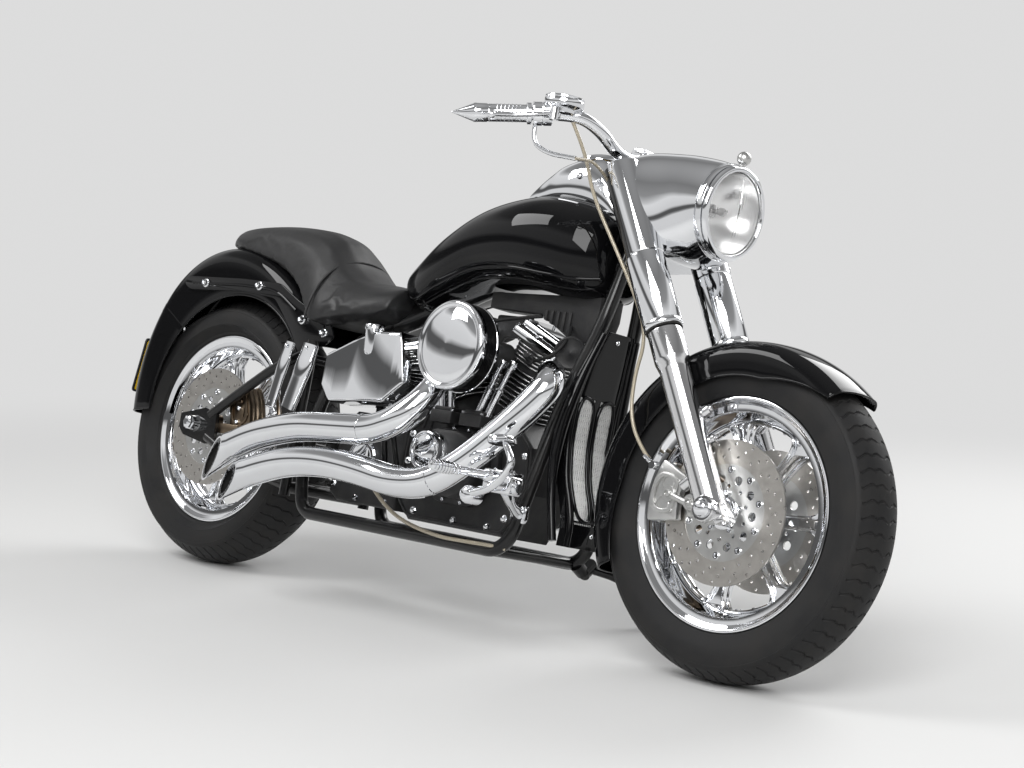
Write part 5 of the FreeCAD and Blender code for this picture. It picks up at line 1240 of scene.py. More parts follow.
def remeshed_and_puffed(name, shape):
    """A soft pad: the shape remeshed, swollen by cloth simulation and held to a small swell."""
    mesh = bpy.data.meshes.new(name)
    local = shape.moved(Matrix.Scale(0.001, 4))
    mesh.from_pydata([tuple(p) for p in local.points], [], local.faces)
    pad = bpy.data.objects.new(name, mesh)
    bpy.context.scene.collection.objects.link(pad)
    voxel = pad.modifiers.new("voxels", "REMESH")
    voxel.mode = "VOXEL"
    voxel.voxel_size = 0.006
    smooth = pad.modifiers.new("smooth", "SMOOTH")
    smooth.factor = 0.6
    smooth.iterations = 6
    graph = bpy.context.evaluated_depsgraph_get()
    fine = bpy.data.meshes.new_from_object(pad.evaluated_get(graph))
    pad.modifiers.clear()
    pad.data = fine
    bpy.data.meshes.remove(mesh)
    rest = np.array([v.co[:] for v in fine.vertices])
    cloth = pad.modifiers.new("cloth", "CLOTH")
    cloth.settings.quality = 4
    cloth.settings.use_pressure = True
    cloth.settings.uniform_pressure_force = SEAT_PRESSURE
    cloth.settings.effector_weights.gravity = 0
    cloth.point_cache.frame_start, cloth.point_cache.frame_end = 1, CLOTH_FRAMES
    for number in range(1, CLOTH_FRAMES + 1):
        bpy.context.scene.frame_set(number)
    graph = bpy.context.evaluated_depsgraph_get()
    swollen = pad.evaluated_get(graph).to_mesh()
    moved = np.array([v.co[:] for v in swollen.vertices]) - rest
    pad.evaluated_get(graph).to_mesh_clear()
    pad.modifiers.clear()
    reach = np.linalg.norm(moved, axis=1, keepdims=True)
    rest = rest + moved * np.minimum(1, SEAT_SWELL * 0.001 / np.maximum(reach, 1e-9))
    bpy.context.scene.frame_set(1)
    result = Shape(rest * 1000, [tuple(p.vertices) for p in fine.polygons])
    bpy.data.objects.remove(pad)
    bpy.data.meshes.remove(fine)
    return result


def make_seat():
    """Leather saddle as one swollen pad, with a welt across it ahead of its hump."""
    rows = [saddle_ring(*row) for row in smooth_line(SEAT_STATIONS, 5)]
    pad = remeshed_and_puffed("saddle", lofted(rows))
    seat = add("saddle_pad", pad, "leather", "machine", ["seat"], sharp=80)
    ring = saddle_ring(*[a * 0.45 + b * 0.55 for a, b in zip(SEAT_STATIONS[7], SEAT_STATIONS[8])])
    line = [(x - 30 * abs(y / 150) ** 2, y * 1.045, z + 7 * (1 - abs(y / 150))) for x, y, z in ring[:-1]]
    add("saddle_welt", tube(smooth_line(line, 5), 3.2, 10), "leather", "machine", sharp=80)


# Rear fender, struts, tail lamp and plate


def rear_arcs():
    """The three arcs of the rear fender as (centre, radius, start, end), from the plate forward."""
    back, turn = (121, AXLE_HEIGHT + 78), radians(148.6)
    radii = (465, 293, 420)
    step = radii[0] - radii[1]
    top = polar(step, turn, back)
    front = (top[0], top[1] + radii[1] - radii[2])
    return [(back, radii[0], 189, 148.6), (top, radii[1], 148.6, 90), (front, radii[2], 90, 28)]


def make_rear_fender():
    half = 100
    cuts = [(49, AXLE_HEIGHT + 44, 290)]
    path = []
    for centre, radius, start, end in rear_arcs():
        stops = spread(start, end, int(abs(start - end) / 2.4))
        path = path[:-1] + [(centre, radius, radians(angle)) for angle in stops]
    shape, rows = fender_shape(path, half, 42, cuts, 190, 3.2)
    seam = thickened(sheet([[(x, y * 1.012, z) for x, y, z in row] for row in rows[14:16]]), 2.0)
    add("rear_mudguard", shape + seam, "paint", "machine", ["rear_fender"], sharp=50)
    place = by(-349, 0, 460) @ Matrix.Rotation(radians(8), 4, "Y")
    holder = soft_box((39, 114, 114), 5).moved(place @ by(20.5, 0, 0))
    add("plate_block", holder, "case", "machine")
    make_plate(place)


def make_plate(place):
    """Blank plate in a dark frame with its bolts."""
    panel = soft_box((2, 146, 136), 0.8).moved(place @ by(-2, 0, 0))
    add("blank_plate", panel, "plate", "machine", ["number_plate"])
    border = cut_plate([box_loop(76, 72, 9, 3), box_loop(70, 66, 5, 3)], 4.6, 1)
    add("plate_border", border.moved(place @ stood((-2.6, 0, 0), -AHEAD, LEFT)), "case", "machine")
    heads = copies(dome_bolt(4.4, 3), [place @ stood((-3, y, 42), -AHEAD) for y in (-44, 44)])
    add("plate_bolts", heads, "chrome", "machine")


def make_struts():
    """Fender struts with their bolts standing proud."""
    corners = [(-186, 682), (-166, 700), (50, 705), (190, 702), (270, 664), (400, 616),
               (420, 586), (398, 566), (300, 540), (262, 590), (180, 664), (50, 673), (-160, 666)]
    outline = rounded(corners, 16, 4, closed=True)
    strut = side_plate(outline, -106.3, 6, 2.2)
    ridge = tube(rounded([(-150, -110, 683), (50, -110, 689), (184, -110, 684), (268, -110, 640)], 40, 5),
                 3.4, 8)
    add("fender_rails", (strut + ridge).both_sides(), "paint", "machine", ["fender_struts"])
    head = lathe([(11, 0), (11, 4), (9.5, 5.4), (8, 5.6), (8, 12), (6.8, 13.6), (4.2, 13.6),
                  (4.2, 9), (0, 9)], 28)
    heads = bolts(head, [(x, -109, z) for x, z in ((-92, 685), (118, 690), (300, 618), (386, 592))], RIGHT)
    add("fender_rail_bolts", heads.both_sides(), "chrome", "machine")


def make_tail_lamp():
    """Red lens in a bright ring on the fender's back."""
    place = by(-286, 0, 606) @ Matrix.Rotation(radians(-176), 4, "Y")

    def rings(stations):
        return [[tuple(place @ Vector(point)) for point in section_ring(x, half, -tall, 0, tall, 0.9, 32)]
                for x, half, tall in stations]

    base = lofted(rings([(2, 33, 39), (6, 36.5, 41), (20, 38.5, 41), (26, 39.5, 40), (30, 40, 39),
                         (31, 37, 36)]))
    lens = lofted(rings([(30, 37, 35.6), (40, 38, 36), (46, 37.4, 35.5), (48, 36, 34.4), (56, 35, 33),
                         (58, 34, 32), (64, 26, 25), (66, 14, 14)]))
    add("tail_lamp_ring", base, "chrome", "machine", ["tail_lamp"])
    add("tail_lamp_lens", lens, "red", "machine", sharp=60)


# Chin panel


SPOILER_LOW, SPOILER_HIGH = 206, 672
SLOT_LOW, SLOT_HIGH = 262, 528
MESH_WIRE = 0.95
SPOILER_FRONT = [(1222, SPOILER_LOW), (1224, 252), (1212, 293), (1188, 345), (1174, 418), (1173, 470),
                 (1176, 530), (1188, 600), (1203, SPOILER_HIGH)]


def spoiler_x(height):
    """How far ahead the chin panel's face lies at a height."""
    return float(np.interp(height, [z for _, z in SPOILER_FRONT], [x for x, _ in SPOILER_FRONT]))


def spoiler_smooth(height, reach=14):
    """The face's place evened out between points below and above a height."""
    return (spoiler_x(height - reach) + spoiler_x(height + reach)) / 2


def spoiler_side(height):
    """The panel's right edge, drawn in above the mesh openings."""
    return -67 + max(0, height - 560) * 0.17


def face_strip(outline, proud, depth, steps=26):
    """Band over the chin panel's curved face between two widths given for each height."""
    levels, nears, fars = zip(*outline)
    rows = []
    for z in spread(levels[0], levels[-1], steps):
        near, far = np.interp(z, levels, nears), np.interp(z, levels, fars)
        x = (spoiler_smooth(z) + spoiler_x(z)) / 2 + proud
        rows.append([(x, y, z) for y in spread(near, far, 6)])
    return thickened(sheet(rows), depth, 1.0)


def slot_edge(side):
    """Closed line round one grille opening on the chin panel's face."""
    low, high, near, far = SLOT_LOW, SLOT_HIGH, 6, 57
    corners = [(near, low + 26), (near + 8, low), (far - 10, low + 6), (far, low + 34),
               (far, high - 30), (far - 10, high), (near + 8, high - 8), (near, high - 34)]
    loop = rounded(corners, 14, 3, closed=True)
    points = []
    for (y0, z0), (y1, z1) in zip(loop, loop[1:] + loop[:1]):
        pieces = max(1, int(abs(z1 - z0) / 14))
        points += list(zip(spread(y0, y1, pieces), spread(z0, z1, pieces)))[:-1]
    return [(spoiler_smooth(z, 12) + 1.5, side * y, z) for y, z in points]


def make_chin_panel():
    """Glossy panel between the downtubes with two mesh openings and side strips."""
    low, high = SPOILER_LOW, SPOILER_HIGH
    outer_band = face_strip([(low, -68, -57), (SLOT_LOW, -68, -57), (SLOT_HIGH, -68, -57), (600, -62, -50),
                             (660, -47, -36)], -2, 5)
    middle_band = face_strip([(low, -9, 9), (530, -9, 9)], -2, 5)
    low_band = face_strip([(low, -60, 60), (264, -60, 60)], -2, 5, 8)
    high_band = face_strip([(524, -60, 60), (600, -52, 52), (high, -38, 38)], -2, 5, 16)
    shells = [outer_band, middle_band, low_band, high_band, outer_band.mirrored()]
    rims = [tube(slot_edge(side), 4.2, 10, closed=True) for side in (-1, 1)]
    rim = tube([(spoiler_smooth(z) - 3, spoiler_side(z) + 1, z) for z in spread(low, high, 30)], 7, 12)
    side_wall = [[(spoiler_x(z) - 4 - back, spoiler_side(z), z) for back in spread(0, 26, 4)]
                 for z in spread(low, high, 24)]
    wall = thickened(sheet(side_wall), 3)
    strip_path = rounded([(1204, -54, 664), (1180, -76, 560), (1164, -92, 450), (1172, -98, 330),
                          (1204, -96, 214)], 120, 8)
    widths = [9 + 5.5 * sin(pi * min(1, share * 1.15)) for share in spread(0, 1, len(strip_path) - 1)]
    strip = tube(strip_path, widths, 20)
    bolt = dome_bolt(6, 5).moved(stood((spoiler_x(652) + 1, 0, 652), (0.97, 0, -0.22)))
    low_bolt = dome_bolt(5, 4).moved(stood((spoiler_x(236) + 1, 0, 236), (1, 0, 0.1)))
    add("chin_panel", total(shells + rims) + (rim + wall + strip).both_sides(), "paint", "machine",
        ["chin_spoiler"], sharp=50)
    add("chin_panel_bolts", bolt + low_bolt, "chrome", "machine")
    add("chin_mesh", chin_mesh().both_sides(), "wire", "machine")
    back = face_strip([(240, -60, 60), (540, -60, 60)], -14, 2)
    add("chin_backing", back, "soot", "machine")


def chin_mesh():
    """Woven grille behind one opening: crossing wires that follow the face."""
    wires = [tube([(spoiler_x(z) - 1 + 0.7 * (-1) ** (i + k), y, z)
                   for i, z in enumerate(spread(256, 528, 20))], MESH_WIRE, 5)
             for k, y in enumerate(spread(6, 58, 17))]
    wires += [tube([(spoiler_x(z) - 1, y, z) for y in spread(5, 59, 3)], MESH_WIRE, 5)
              for z in spread(258, 526, 85)]
    return total(wires)


def make_body():
    make_tank()
    make_dash()
    make_seat()
    make_rear_fender()
    make_struts()
    make_tail_lamp()
    make_chin_panel()


# Engine


ENGINE_MIDDLE, CRANK_HEIGHT = 890, 330
HALF_VEE = radians(22.5)
BARREL_FOOT = 160
GEARBOX_AT, GEARBOX_FACE = (560, 318), -74
TIMER_SCREWS = (0.5, 2.6, 4.7)
HEAD_FOOT = BARREL_FOOT + 114
CRANK = Vector((ENGINE_MIDDLE, 0, CRANK_HEIGHT))


def barrel_axis(sign):
    """Direction of a barrel; the sign is 1 for the front one."""
    return Vector((sin(HALF_VEE) * sign, 0, cos(HALF_VEE)))


def barrel_frame(sign):
    """Matrix of a barrel: Z up its axis from the crank centre, X ahead, Y to the left."""
    return stood(CRANK, barrel_axis(sign), LEFT.cross(barrel_axis(sign)))


def fin_outline(radius, height, sign, grow=0.0):
    """Rounded square fin, cut short where the two barrels would meet; sign is 1 in front."""
    limit = -(height * sin(HALF_VEE) / cos(HALF_VEE)) + 1.8
    loop = []
    for turn in turns(56):
        reach = (radius + grow) / (abs(cos(turn)) ** 3 + abs(sin(turn)) ** 3) ** (1 / 3) * 0.86
        reach = min(reach * 1.12, radius + grow)
        x, y = polar(reach, turn)
        x = max(x, limit) if sign > 0 else min(x, -limit)
        loop.append((x, y))
    return loop


def make_cylinders():
    """Black finned barrels and heads with bright fin edges."""
    dark, bright = [], []
    for sign in (-1, 1):
        place = barrel_frame(sign)
        dark.append(lathe([(57, 128), (57, 272), (66, 273), (66, 312)], 48).moved(place))
        fins = [(BARREL_FOOT + 9 + 11 * i, 74.5, 2.6) for i in range(9)]
        fins += [(HEAD_FOOT + 8.4 * i, 70.5, 3.4) for i in range(5)]
        for height, radius, thick in fins:
            body = cut_plate([fin_outline(radius, height, sign), ring_loop(50, 24)], thick, 0.5)
            rim = [fin_outline(radius, height, sign, grow) for grow in (0.5, -1.6)]
            dark.append(body.moved(place @ by(0, 0, height)))
            bright.append(cut_plate(rim, thick * 0.72, 0.3).moved(place @ by(0, 0, height)))
        bright.append(copies(bar((0, 0, 0), (0, 0, 8), 6, 12),
                             [place @ by(x, y, 306) for x in (-48, 48) for y in (-52, 52)]))
        plug = lathe([(9, 0), (9, 10), (7, 12), (7, 34), (5, 38), (0, 38)], 16)
        dark.append(plug.moved(place @ stood((20 * sign, -62, 286), (0.2 * sign, -0.9, 0.35))))
    add("barrels_and_heads", total(dark), "case", "machine", ["cylinders"], sharp=30)
    add("fin_edges", total(bright), "fin_edge", "machine", sharp=30)


def make_rocker_boxes():
    """Two-tier bright rocker boxes with a dark gasket line and cap screws."""
    bright, gaskets = [], []
    for sign in (-1, 1):
        place = barrel_frame(sign) @ by(0, 0, BARREL_FOOT + 152.3)
        for lift, tall, long, wide, trim in ((11.5, 18, 80, 64, 3), (32, 19, 72, 54, 5)):
            tier = cut_plate([box_loop(long, wide, 18, 5)], tall, trim)
            bright.append(tier.moved(place @ by(0, 0, lift)))
        for lift, long, wide in ((1.4, 81, 65), (21.6, 75, 58)):
            gasket = cut_plate([box_loop(long, wide, 18, 4)], 2.6)
            gaskets.append(gasket.moved(place @ by(0, 0, lift)))
        bright.append(cut_plate([box_loop(56, 36, 14, 4)], 3, 1.4).moved(place @ by(0, 0, 41)))
        for tall, lift, xs, wide in ((6, 20, (-66, 0, 66), 60), (5, 40, (-58, 58), 42)):
            bright.append(copies(socket_bolt(4.6, tall),
                                 [place @ by(x, y, lift) for x in xs for y in (-wide, wide)]))
    add("rocker_covers", total(bright), "chrome", "machine", ["rocker_boxes"])
    add("rocker_gaskets", total(gaskets), "soot", "machine")


def make_pushrods():
    """Telescoping push-rod tubes with their clips, on black tappet blocks."""
    tubes, blocks, heads = [], [], []
    for sign in (-1, 1):
        head = CRANK + barrel_axis(sign) * (HEAD_FOOT - 4)
        for shift in (-16, 16):
            top = head + Vector((shift - 6 * sign, -98, 0))
            foot = Vector((ENGINE_MIDDLE + sign * 46 + shift * 0.9, -106, CRANK_HEIGHT + 96))
            length = (top - foot).length
            tubes.append(lathe_between(foot, top, [
                (11, 18), (11, 26), (8.6, 28), (8.6, length * 0.52), (10.2, length * 0.525),
                (10.2, length * 0.56), (9, length * 0.565), (6.6, length * 0.58),
                (6.6, length - 22), (10, length - 20), (10.6, length - 6), (8, length)], 28))
            way = (top - foot).normalized()
            clip = foot + way * length * 0.76
            tubes.append(tube([clip + RIGHT * 7.6 - way * 30, clip + RIGHT * 9.4 - way * 12,
                               clip + RIGHT * 9.4 + way * 12, clip + RIGHT * 7.6 + way * 26], 1.3, 8))
        place = by(ENGINE_MIDDLE + sign * 46, -107, CRANK_HEIGHT + 107)
        blocks.append(soft_box((66, 52, 28), 3).moved(place))
        blocks.append(soft_box((54, 42, 12), 3).moved(place @ by(0, 0, 17)))
        corners = [place @ by(x, y, 14) for x in (-29, 29) for y in (-20, 20)]
        heads.append(copies(socket_bolt(4, 5), corners))
    add("pushrod_covers", total(tubes), "chrome", "machine", ["pushrod_tubes"])
    add("tappet_blocks", total(blocks), "case", "machine")
    add("tappet_screws", total(heads), "chrome", "machine")


def shrunk(points, centre, across, up):
    """Flat points drawn in towards a centre by a share in each direction."""
    return [(centre[0] + (x - centre[0]) * across, centre[1] + (z - centre[1]) * up) for x, z in points]


def make_cam_cover():
    """Dark gear cover with its rim screws and the bright round timer cover."""
    middle, crank = ENGINE_MIDDLE, CRANK_HEIGHT
    corners = [(middle - 120, crank - 30), (middle - 60, crank - 78), (middle + 60, crank - 80),
               (middle + 120, crank - 10), (middle + 110, crank + 60), (middle + 40, crank + 92),
               (middle - 60, crank + 92), (middle - 118, crank + 50)]
    outline = rounded(corners, 26, 5, closed=True)
    centre = (sum(x for x, _ in corners) / 8, sum(z for _, z in corners) / 8)
    flange = side_plate(outline, -86, 15, 2)
    dome = side_plate(shrunk(outline, centre, 0.86, 0.86), -117, 52, 10)
    timer_at = Vector((middle - 40, -158, crank + 26))
    timer = lathe([(57, -66), (54, -50), (49.5, -34), (47, -14), (46, -6), (44, -3.5), (44, 8),
                   (42.4, 11.4), (39, 13), (35.5, 12.6), (34, 11.2), (31, 11.4), (29, 12.6),
                   (12, 13.4), (0, 13.6)], 64)
    timer += copies(socket_bolt(3.4, 3), [by(*polar(37.5, turn), 12.6) for turn in TIMER_SCREWS])
    spots = [(x0 + (x1 - x0) * t, z0 + (z1 - z0) * t)
             for (x0, z0), (x1, z1) in zip(corners, corners[1:] + corners[:1]) for t in (0.25, 0.75)]
    rim = bolts(socket_bolt(4.4, 5), [(x, -93, z) for x, z in shrunk(spots, centre, 0.93, 0.93)], RIGHT)
    add("gear_cover", flange + dome, "case", "machine", ["cam_cover"])
    add("timer_cover", timer.moved(stood(timer_at, RIGHT)) + rim, "chrome", "machine")


def make_air_cleaner():
    """Domed bright cover with a rolled rim over a dark ribbed drum."""
    place = stood((ENGINE_MIDDLE + 47, -172, 585), RIGHT)
    cover = lathe([(97.6, 50), (98, 54), (98, 60), (96.8, 64), (94, 67), (90.5, 68.2), (87.4, 67.4),
                   (85, 65.4), (82.6, 64.6), (80, 65.8), (76, 68.4), (60, 72.4), (40, 75.6),
                   (20, 77.4), (0, 78)], 128)
    add("air_filter_cover", cover.moved(place), "chrome", "machine", ["air_cleaner"], sharp=60)
    ribs = [(72, 0), (76, 2), (86, 5)]
    for i in range(9):
        height = 10 + i * 4.4
        ribs += [(96.4, height), (96.4, height + 1.8), (93.4, height + 2.3), (93.4, height + 4.0)]
    drum = lathe(ribs + [(95, 51)], 96)
    add("air_filter_drum", drum.moved(place), "frame", "machine", sharp=25)
    ring = lathe([(97.4, 13), (97.4, 17), (96.4, 18), (96.4, 12)], 96)
    add("air_filter_band", ring.moved(place), "chrome", "machine")
    dish = lathe([(34, -110), (34, -30), (40, -18), (58, -6), (74, 1.6)], 48)
    heads = copies(hex_bolt(5, 4), [by(*polar(48, turn), -12) for turn in (0.4, 2.5, 4.6)])
    add("intake_horn", (dish + heads).moved(place), "case", "machine")


def make_case_detail():
    """Flange line, ribs and bolts on the right of the crankcase and gearbox."""
    middle, side = ENGINE_MIDDLE, -78
    heads = bolts(hex_bolt(7, 5), [(middle + x, side, z) for x, z in (
        (-176, 262), (-176, 330), (-176, 392), (186, 300), (176, 380), (150, 240), (-130, 222), (0, 216),
        (104, 216))], RIGHT)
    ribs = total([tube([(middle + x, side - 1, 450), (middle + x - 8, side - 1, 408)], 3, 8)
                  for x in (-160, -138, -116)])
    corners = [(middle + x, side - 0.6, z) for x, z in ((-186, 246), (-148, 208), (148, 208), (198, 300),
                                                        (184, 398), (118, 456), (-108, 456), (-184, 398))]
    seam = tube(rounded(corners, 14, 3, closed=True), 3.4, 8, closed=True)
    add("case_bolts", heads, "chrome", "machine")
    add("case_ribs", ribs + seam, "case", "machine")
    box = bolts(hex_bolt(6, 5), [(x, GEARBOX_FACE, z) for x, z in (
        (478, 250), (478, 360), (530, 412), (640, 408), (676, 300), (560, 226), (660, 226))], RIGHT)
    end = lathe([(46, -2), (46, 6), (43, 9), (34, 10), (30, 8), (0, 8)], 48)
    end = end.moved(stood((GEARBOX_AT[0], GEARBOX_FACE, GEARBOX_AT[1]), RIGHT))
    add("gearbox_cover", box + end, "chrome", "machine")


# Exhausts


LOWER_SIDE, UPPER_SIDE = -268, -264
LOWER_PIPE = [(1050, -38, 548), (1112, -96, 554), (1160, -146, 562), (1196, -182, 530),
              (1150, -214, 446), (1060, -240, 348), (980, -262, 286)]
LOWER_PIPE += [(x, LOWER_SIDE, z) for x, z in ((880, 274), (760, 288), (640, 292), (520, 278), (400, 240),
                                               (290, 190))]
UPPER_PIPE = [(840, -120, 552), (872, -176, 530), (882, -220, 470), (850, -252, 412), (780, -262, 378)]
UPPER_PIPE += [(x, UPPER_SIDE, z) for x, z in ((660, 370), (540, 362), (400, 328), (300, 282), (216, 232))]
SLASH = Vector((-0.45, -0.89, 0.0)).normalized()
SLASH_BACK = 42
PIPE_RADIUS, PIPE_WALL, PORT_TAPER = 33, 3, 9
PIPE_SIDES = 40


def pipe_line(points):
    return [Vector(p) for p in rounded(points, 400, 8)]


def pipe_shape(points):
    """Bright pipe, slimmer at its port, with a slash-cut, open end, and its dark inside."""
    line = pipe_line(points)
    last, way = line[-1], (line[-1] - line[-2]).normalized()
    line = [p for p in line[:-1] if (last - p).length > 130] + [last - way * 120, last]
    taper = [max(0.0, 1 - max(0.0, reach - 60) / 150) for reach in reaches(line)]
    widths = [PIPE_RADIUS - PORT_TAPER * share for share in taper]
    outer = tube(line, widths, PIPE_SIDES, capped=False)
    mouth = [p for p in line if (last - p).length < 260]
    inner = tube(mouth, PIPE_RADIUS - PIPE_WALL, PIPE_SIDES, capped=False)
    for shape in (outer, inner):
        ring = shape.points[-PIPE_SIDES:]
        for k, point in enumerate(ring):
            reach = (last - way * SLASH_BACK - Vector(point)).dot(SLASH) / way.dot(SLASH)
            ring[k] = Vector(point) + way * reach
    lip = Shape(np.vstack([outer.points[-PIPE_SIDES:], inner.points[-PIPE_SIDES:]]),
                span_faces(PIPE_SIDES, 2, closed=False))
    return outer + lip, inner


def reaches(line):
    """How far along a line each of its points lies."""
    result = [0.0]
    for a, b in zip(line, line[1:]):
        result.append(result[-1] + (b - a).length)
    return result


def pipe_point(points, share):
    """Point and direction at a share of a pipe's length."""
    line = pipe_line(points)
    lengths = reaches(line)
    want = share * lengths[-1]
    i = next(i for i in range(len(line) - 1) if lengths[i + 1] >= want)
    t = (want - lengths[i]) / (lengths[i + 1] - lengths[i])
    return line[i].lerp(line[i + 1], t), (line[i + 1] - line[i]).normalized()


def pipe_band(points, share):
    """Narrow band round a pipe, with its screw block."""
    place = stood(*pipe_point(points, share))
    radius = PIPE_RADIUS + 1.4
    ring = lathe([(33.2, -5), (radius, -4), (radius, 4), (33.2, 5)], 48)
    return (ring + soft_box((16, 9, 12), 2).moved(by(0, 36, 0))).moved(place)


def shield_edge(points, start, end, angle):
    """Raised edge of a heat shield along a pipe, at an angle about it."""
    line = []
    for share in spread(start, end, 40):
        at, way = pipe_point(points, share)
        across = way.cross(UP).normalized()
        rise = across.cross(way)
        line.append(at + (across * cos(angle) + rise * sin(angle)) * (PIPE_RADIUS + 0.6))
    return tube([tuple(p) for p in line], 1.5, 8)


def make_exhausts():
    for label, points, node, band_at in (("front_pipe", LOWER_PIPE, "exhaust_front", 0.43),
                                         ("rear_pipe", UPPER_PIPE, "exhaust_rear", 0.36)):
        outer, inner = pipe_shape(points)
        edges = [shield_edge(points, band_at + 0.02, 0.93, radians(angle)) for angle in (74, -74)]
        add(label, outer + pipe_band(points, band_at) + total(edges), "chrome", "machine", [node], sharp=50)
        add(label + "_inside", inner, "soot", "machine")
    bracket = side_plate(rounded([(600, 262), (640, 262), (648, 396), (612, 402)], 10, 3, closed=True),
                         -232, 5, 1)
    add("pipe_bracket", bracket, "frame", "machine")


# Oil tank and covers


OIL_TANK_OUTLINE = [(455, 466), (490, 432), (690, 446), (742, 496), (712, 608), (630, 603),
                    (551, 582), (458, 544)]


def outline_span(x):
    """Lowest and highest point of the oil tank's outline at a distance ahead."""
    heights = []
    for (x0, z0), (x1, z1) in zip(OIL_TANK_OUTLINE, OIL_TANK_OUTLINE[1:] + OIL_TANK_OUTLINE[:1]):
        if min(x0, x1) <= x <= max(x0, x1) and x0 != x1:
            heights.append(z0 + (z1 - z0) * (x - x0) / (x1 - x0))
    return min(heights), max(heights)


def oil_tank_slice(x, shrink):
    low, high = outline_span(x)
    out = 175 - 13 * ((x - 655) / 95) ** 2 if x > 562 else 162.5 - 0.1 * (562 - x)
    corners = [(x, -58, low + shrink), (x, shrink - out, low + shrink),
               (x, shrink - out, high - shrink), (x, -58, high - shrink)]
    return rounded(corners, 9, 4, closed=True)


def make_oil_tank():
    """Bright oil tank: flat behind and barrel shaped in front, with its filler and fittings."""
    places = [456.5, 458, 462] + spread(470, 740, 34) + [740.5]
    last = len(places) - 1
    rings = [oil_tank_slice(x, 4 if i in (0, last) else 0) for i, x in enumerate(places)]
    panel = lofted(rings)
    neck = [(0, -10), (12, -8), (18, -3), (20, 4), (20, 50), (22.5, 52), (22.5, 60), (21, 62.5),
            (17, 63), (15, 61), (0, 61)]
    neck = lathe_between((618, -160, 556), (612, -163, 618), neck, 40)
    add("oil_reservoir", panel + neck + panel.mirrored(), "chrome", "machine", ["oil_tank"], sharp=34)
    fitting = total([bar((700 + 10 * i, -150, 446), (700 + 10 * i, -150, 430), 5, 16) for i in (0, 2)])
    add("oil_fittings", fitting, "chrome", "machine")
    for name, route in (
            ("oil_feed_hose", [(700, -150, 432), (702, -158, 400), (706, -150, 340), (716, -132, 262)]),
            ("oil_return_hose", [(720, -150, 432), (728, -160, 396), (746, -150, 330), (762, -128, 250)])):
        hose_curve(name, route, 7, "frame", "machine", [])


def make_side_covers():
    """Curved bright covers over the uprights, each a folded strip with end bolts."""
    pieces = []
    for top, low, wide in ((322, 300, 30), (396, 366, 46)):
        path = rounded([(top, -152, 558), (top - 6, -158, 500), (low, -160, 402)], 60, 8)
        widths = [wide / 2 * (0.86 + 0.34 * sin(pi * share)) for share in spread(0.2, 0.8, len(path) - 1)]
        pieces.append(tube(path, widths, 28, squash=(0.5, 1.0), up=RIGHT))
        for x, z in ((top, 548), (low + 2, 412)):
            pieces.append(dome_bolt(5, 3.4).moved(stood((x, -160 - wide * 0.16, z), RIGHT)))
    add("upright_covers", total(pieces), "chrome", "machine", ["side_covers"])


def make_engine():
    make_cylinders()
    make_rocker_boxes()
    make_pushrods()
    make_cam_cover()
    make_air_cleaner()
    make_case_detail()
    make_exhausts()
    make_oil_tank()
    make_side_covers()


# Foot controls

PEG_RADIUS, PEG_HEIGHT, HUB_RADIUS = 14, 322, 19


def foot_bracket(side):
    """Forged arm from the frame to a set of foot controls, with its clamp bolts."""
    path = rounded([(1122, side * 122, 256), (1150, side * 176, 268), (1172, side * 228, 300)], 40, 6)
    widths = [15 - 4 * sin(turn) for turn in spread(0, pi, len(path) - 1)]
    arm = tube(path, widths, 24, squash=(1.15, 0.8))
    plate = cut_plate([box_loop(22, 20, 12, 4)], 10, 2).moved(stood((1122, side * 121, 256), LEFT))
    heads = bolts(hex_bolt(5, 4), [(1110, side * 127, 244), (1134, side * 127, 268)], (0, side, 0))
    return arm + plate + heads


def foot_peg(points):
    """Slim peg: a hinge block at its root, tapered ribbed bar and a domed end."""
    root, elbow, end = [Vector(p) for p in points]
    length, stem_length = (end - elbow).length, (elbow - root).length
    ribs = [(8, 0)]
    for i in range(7):
        at = 8 + i * (length - 18) / 7
        wide = PEG_RADIUS * (0.78 + 0.22 * sin(pi * (i + 1) / 8))
        ribs += [(wide, at), (wide, at + 5), (wide - 2, at + 5.8), (wide - 2, at + 7.4)]
    ribs += [(PEG_RADIUS * 0.8, length - 8), (PEG_RADIUS * 0.62, length - 2), (0, length)]
    peg = lathe(ribs, 28).moved(stood(elbow, end - elbow))
    stem = lathe_between(root, elbow, [(12, -4), (13, 8), (9, 16), (8.5, stem_length - 6),
                                       (11, stem_length), (9, stem_length + 8)], 24)
    return peg + stem + ball(11.5, elbow)


def pedal_arm(points, hub_from, hub_to):
    """Curved flat arm on a domed hub."""
    path = smooth_line(points, 8)
    arm = tube(path, spread(10.5, 7.5, len(path) - 1), 20, squash=(1.1, 0.75), up=RIGHT)
    r, long = HUB_RADIUS, (Vector(hub_to) - Vector(hub_from)).length
    dome = [(r - 3, 0), (r, 3), (r, long - 12), (r - 2, long - 7), (r * 0.72, long - 2.5),
            (r * 0.34, long - 0.4), (0, long)]
    return arm + lathe_between(hub_from, hub_to, dome, 36)


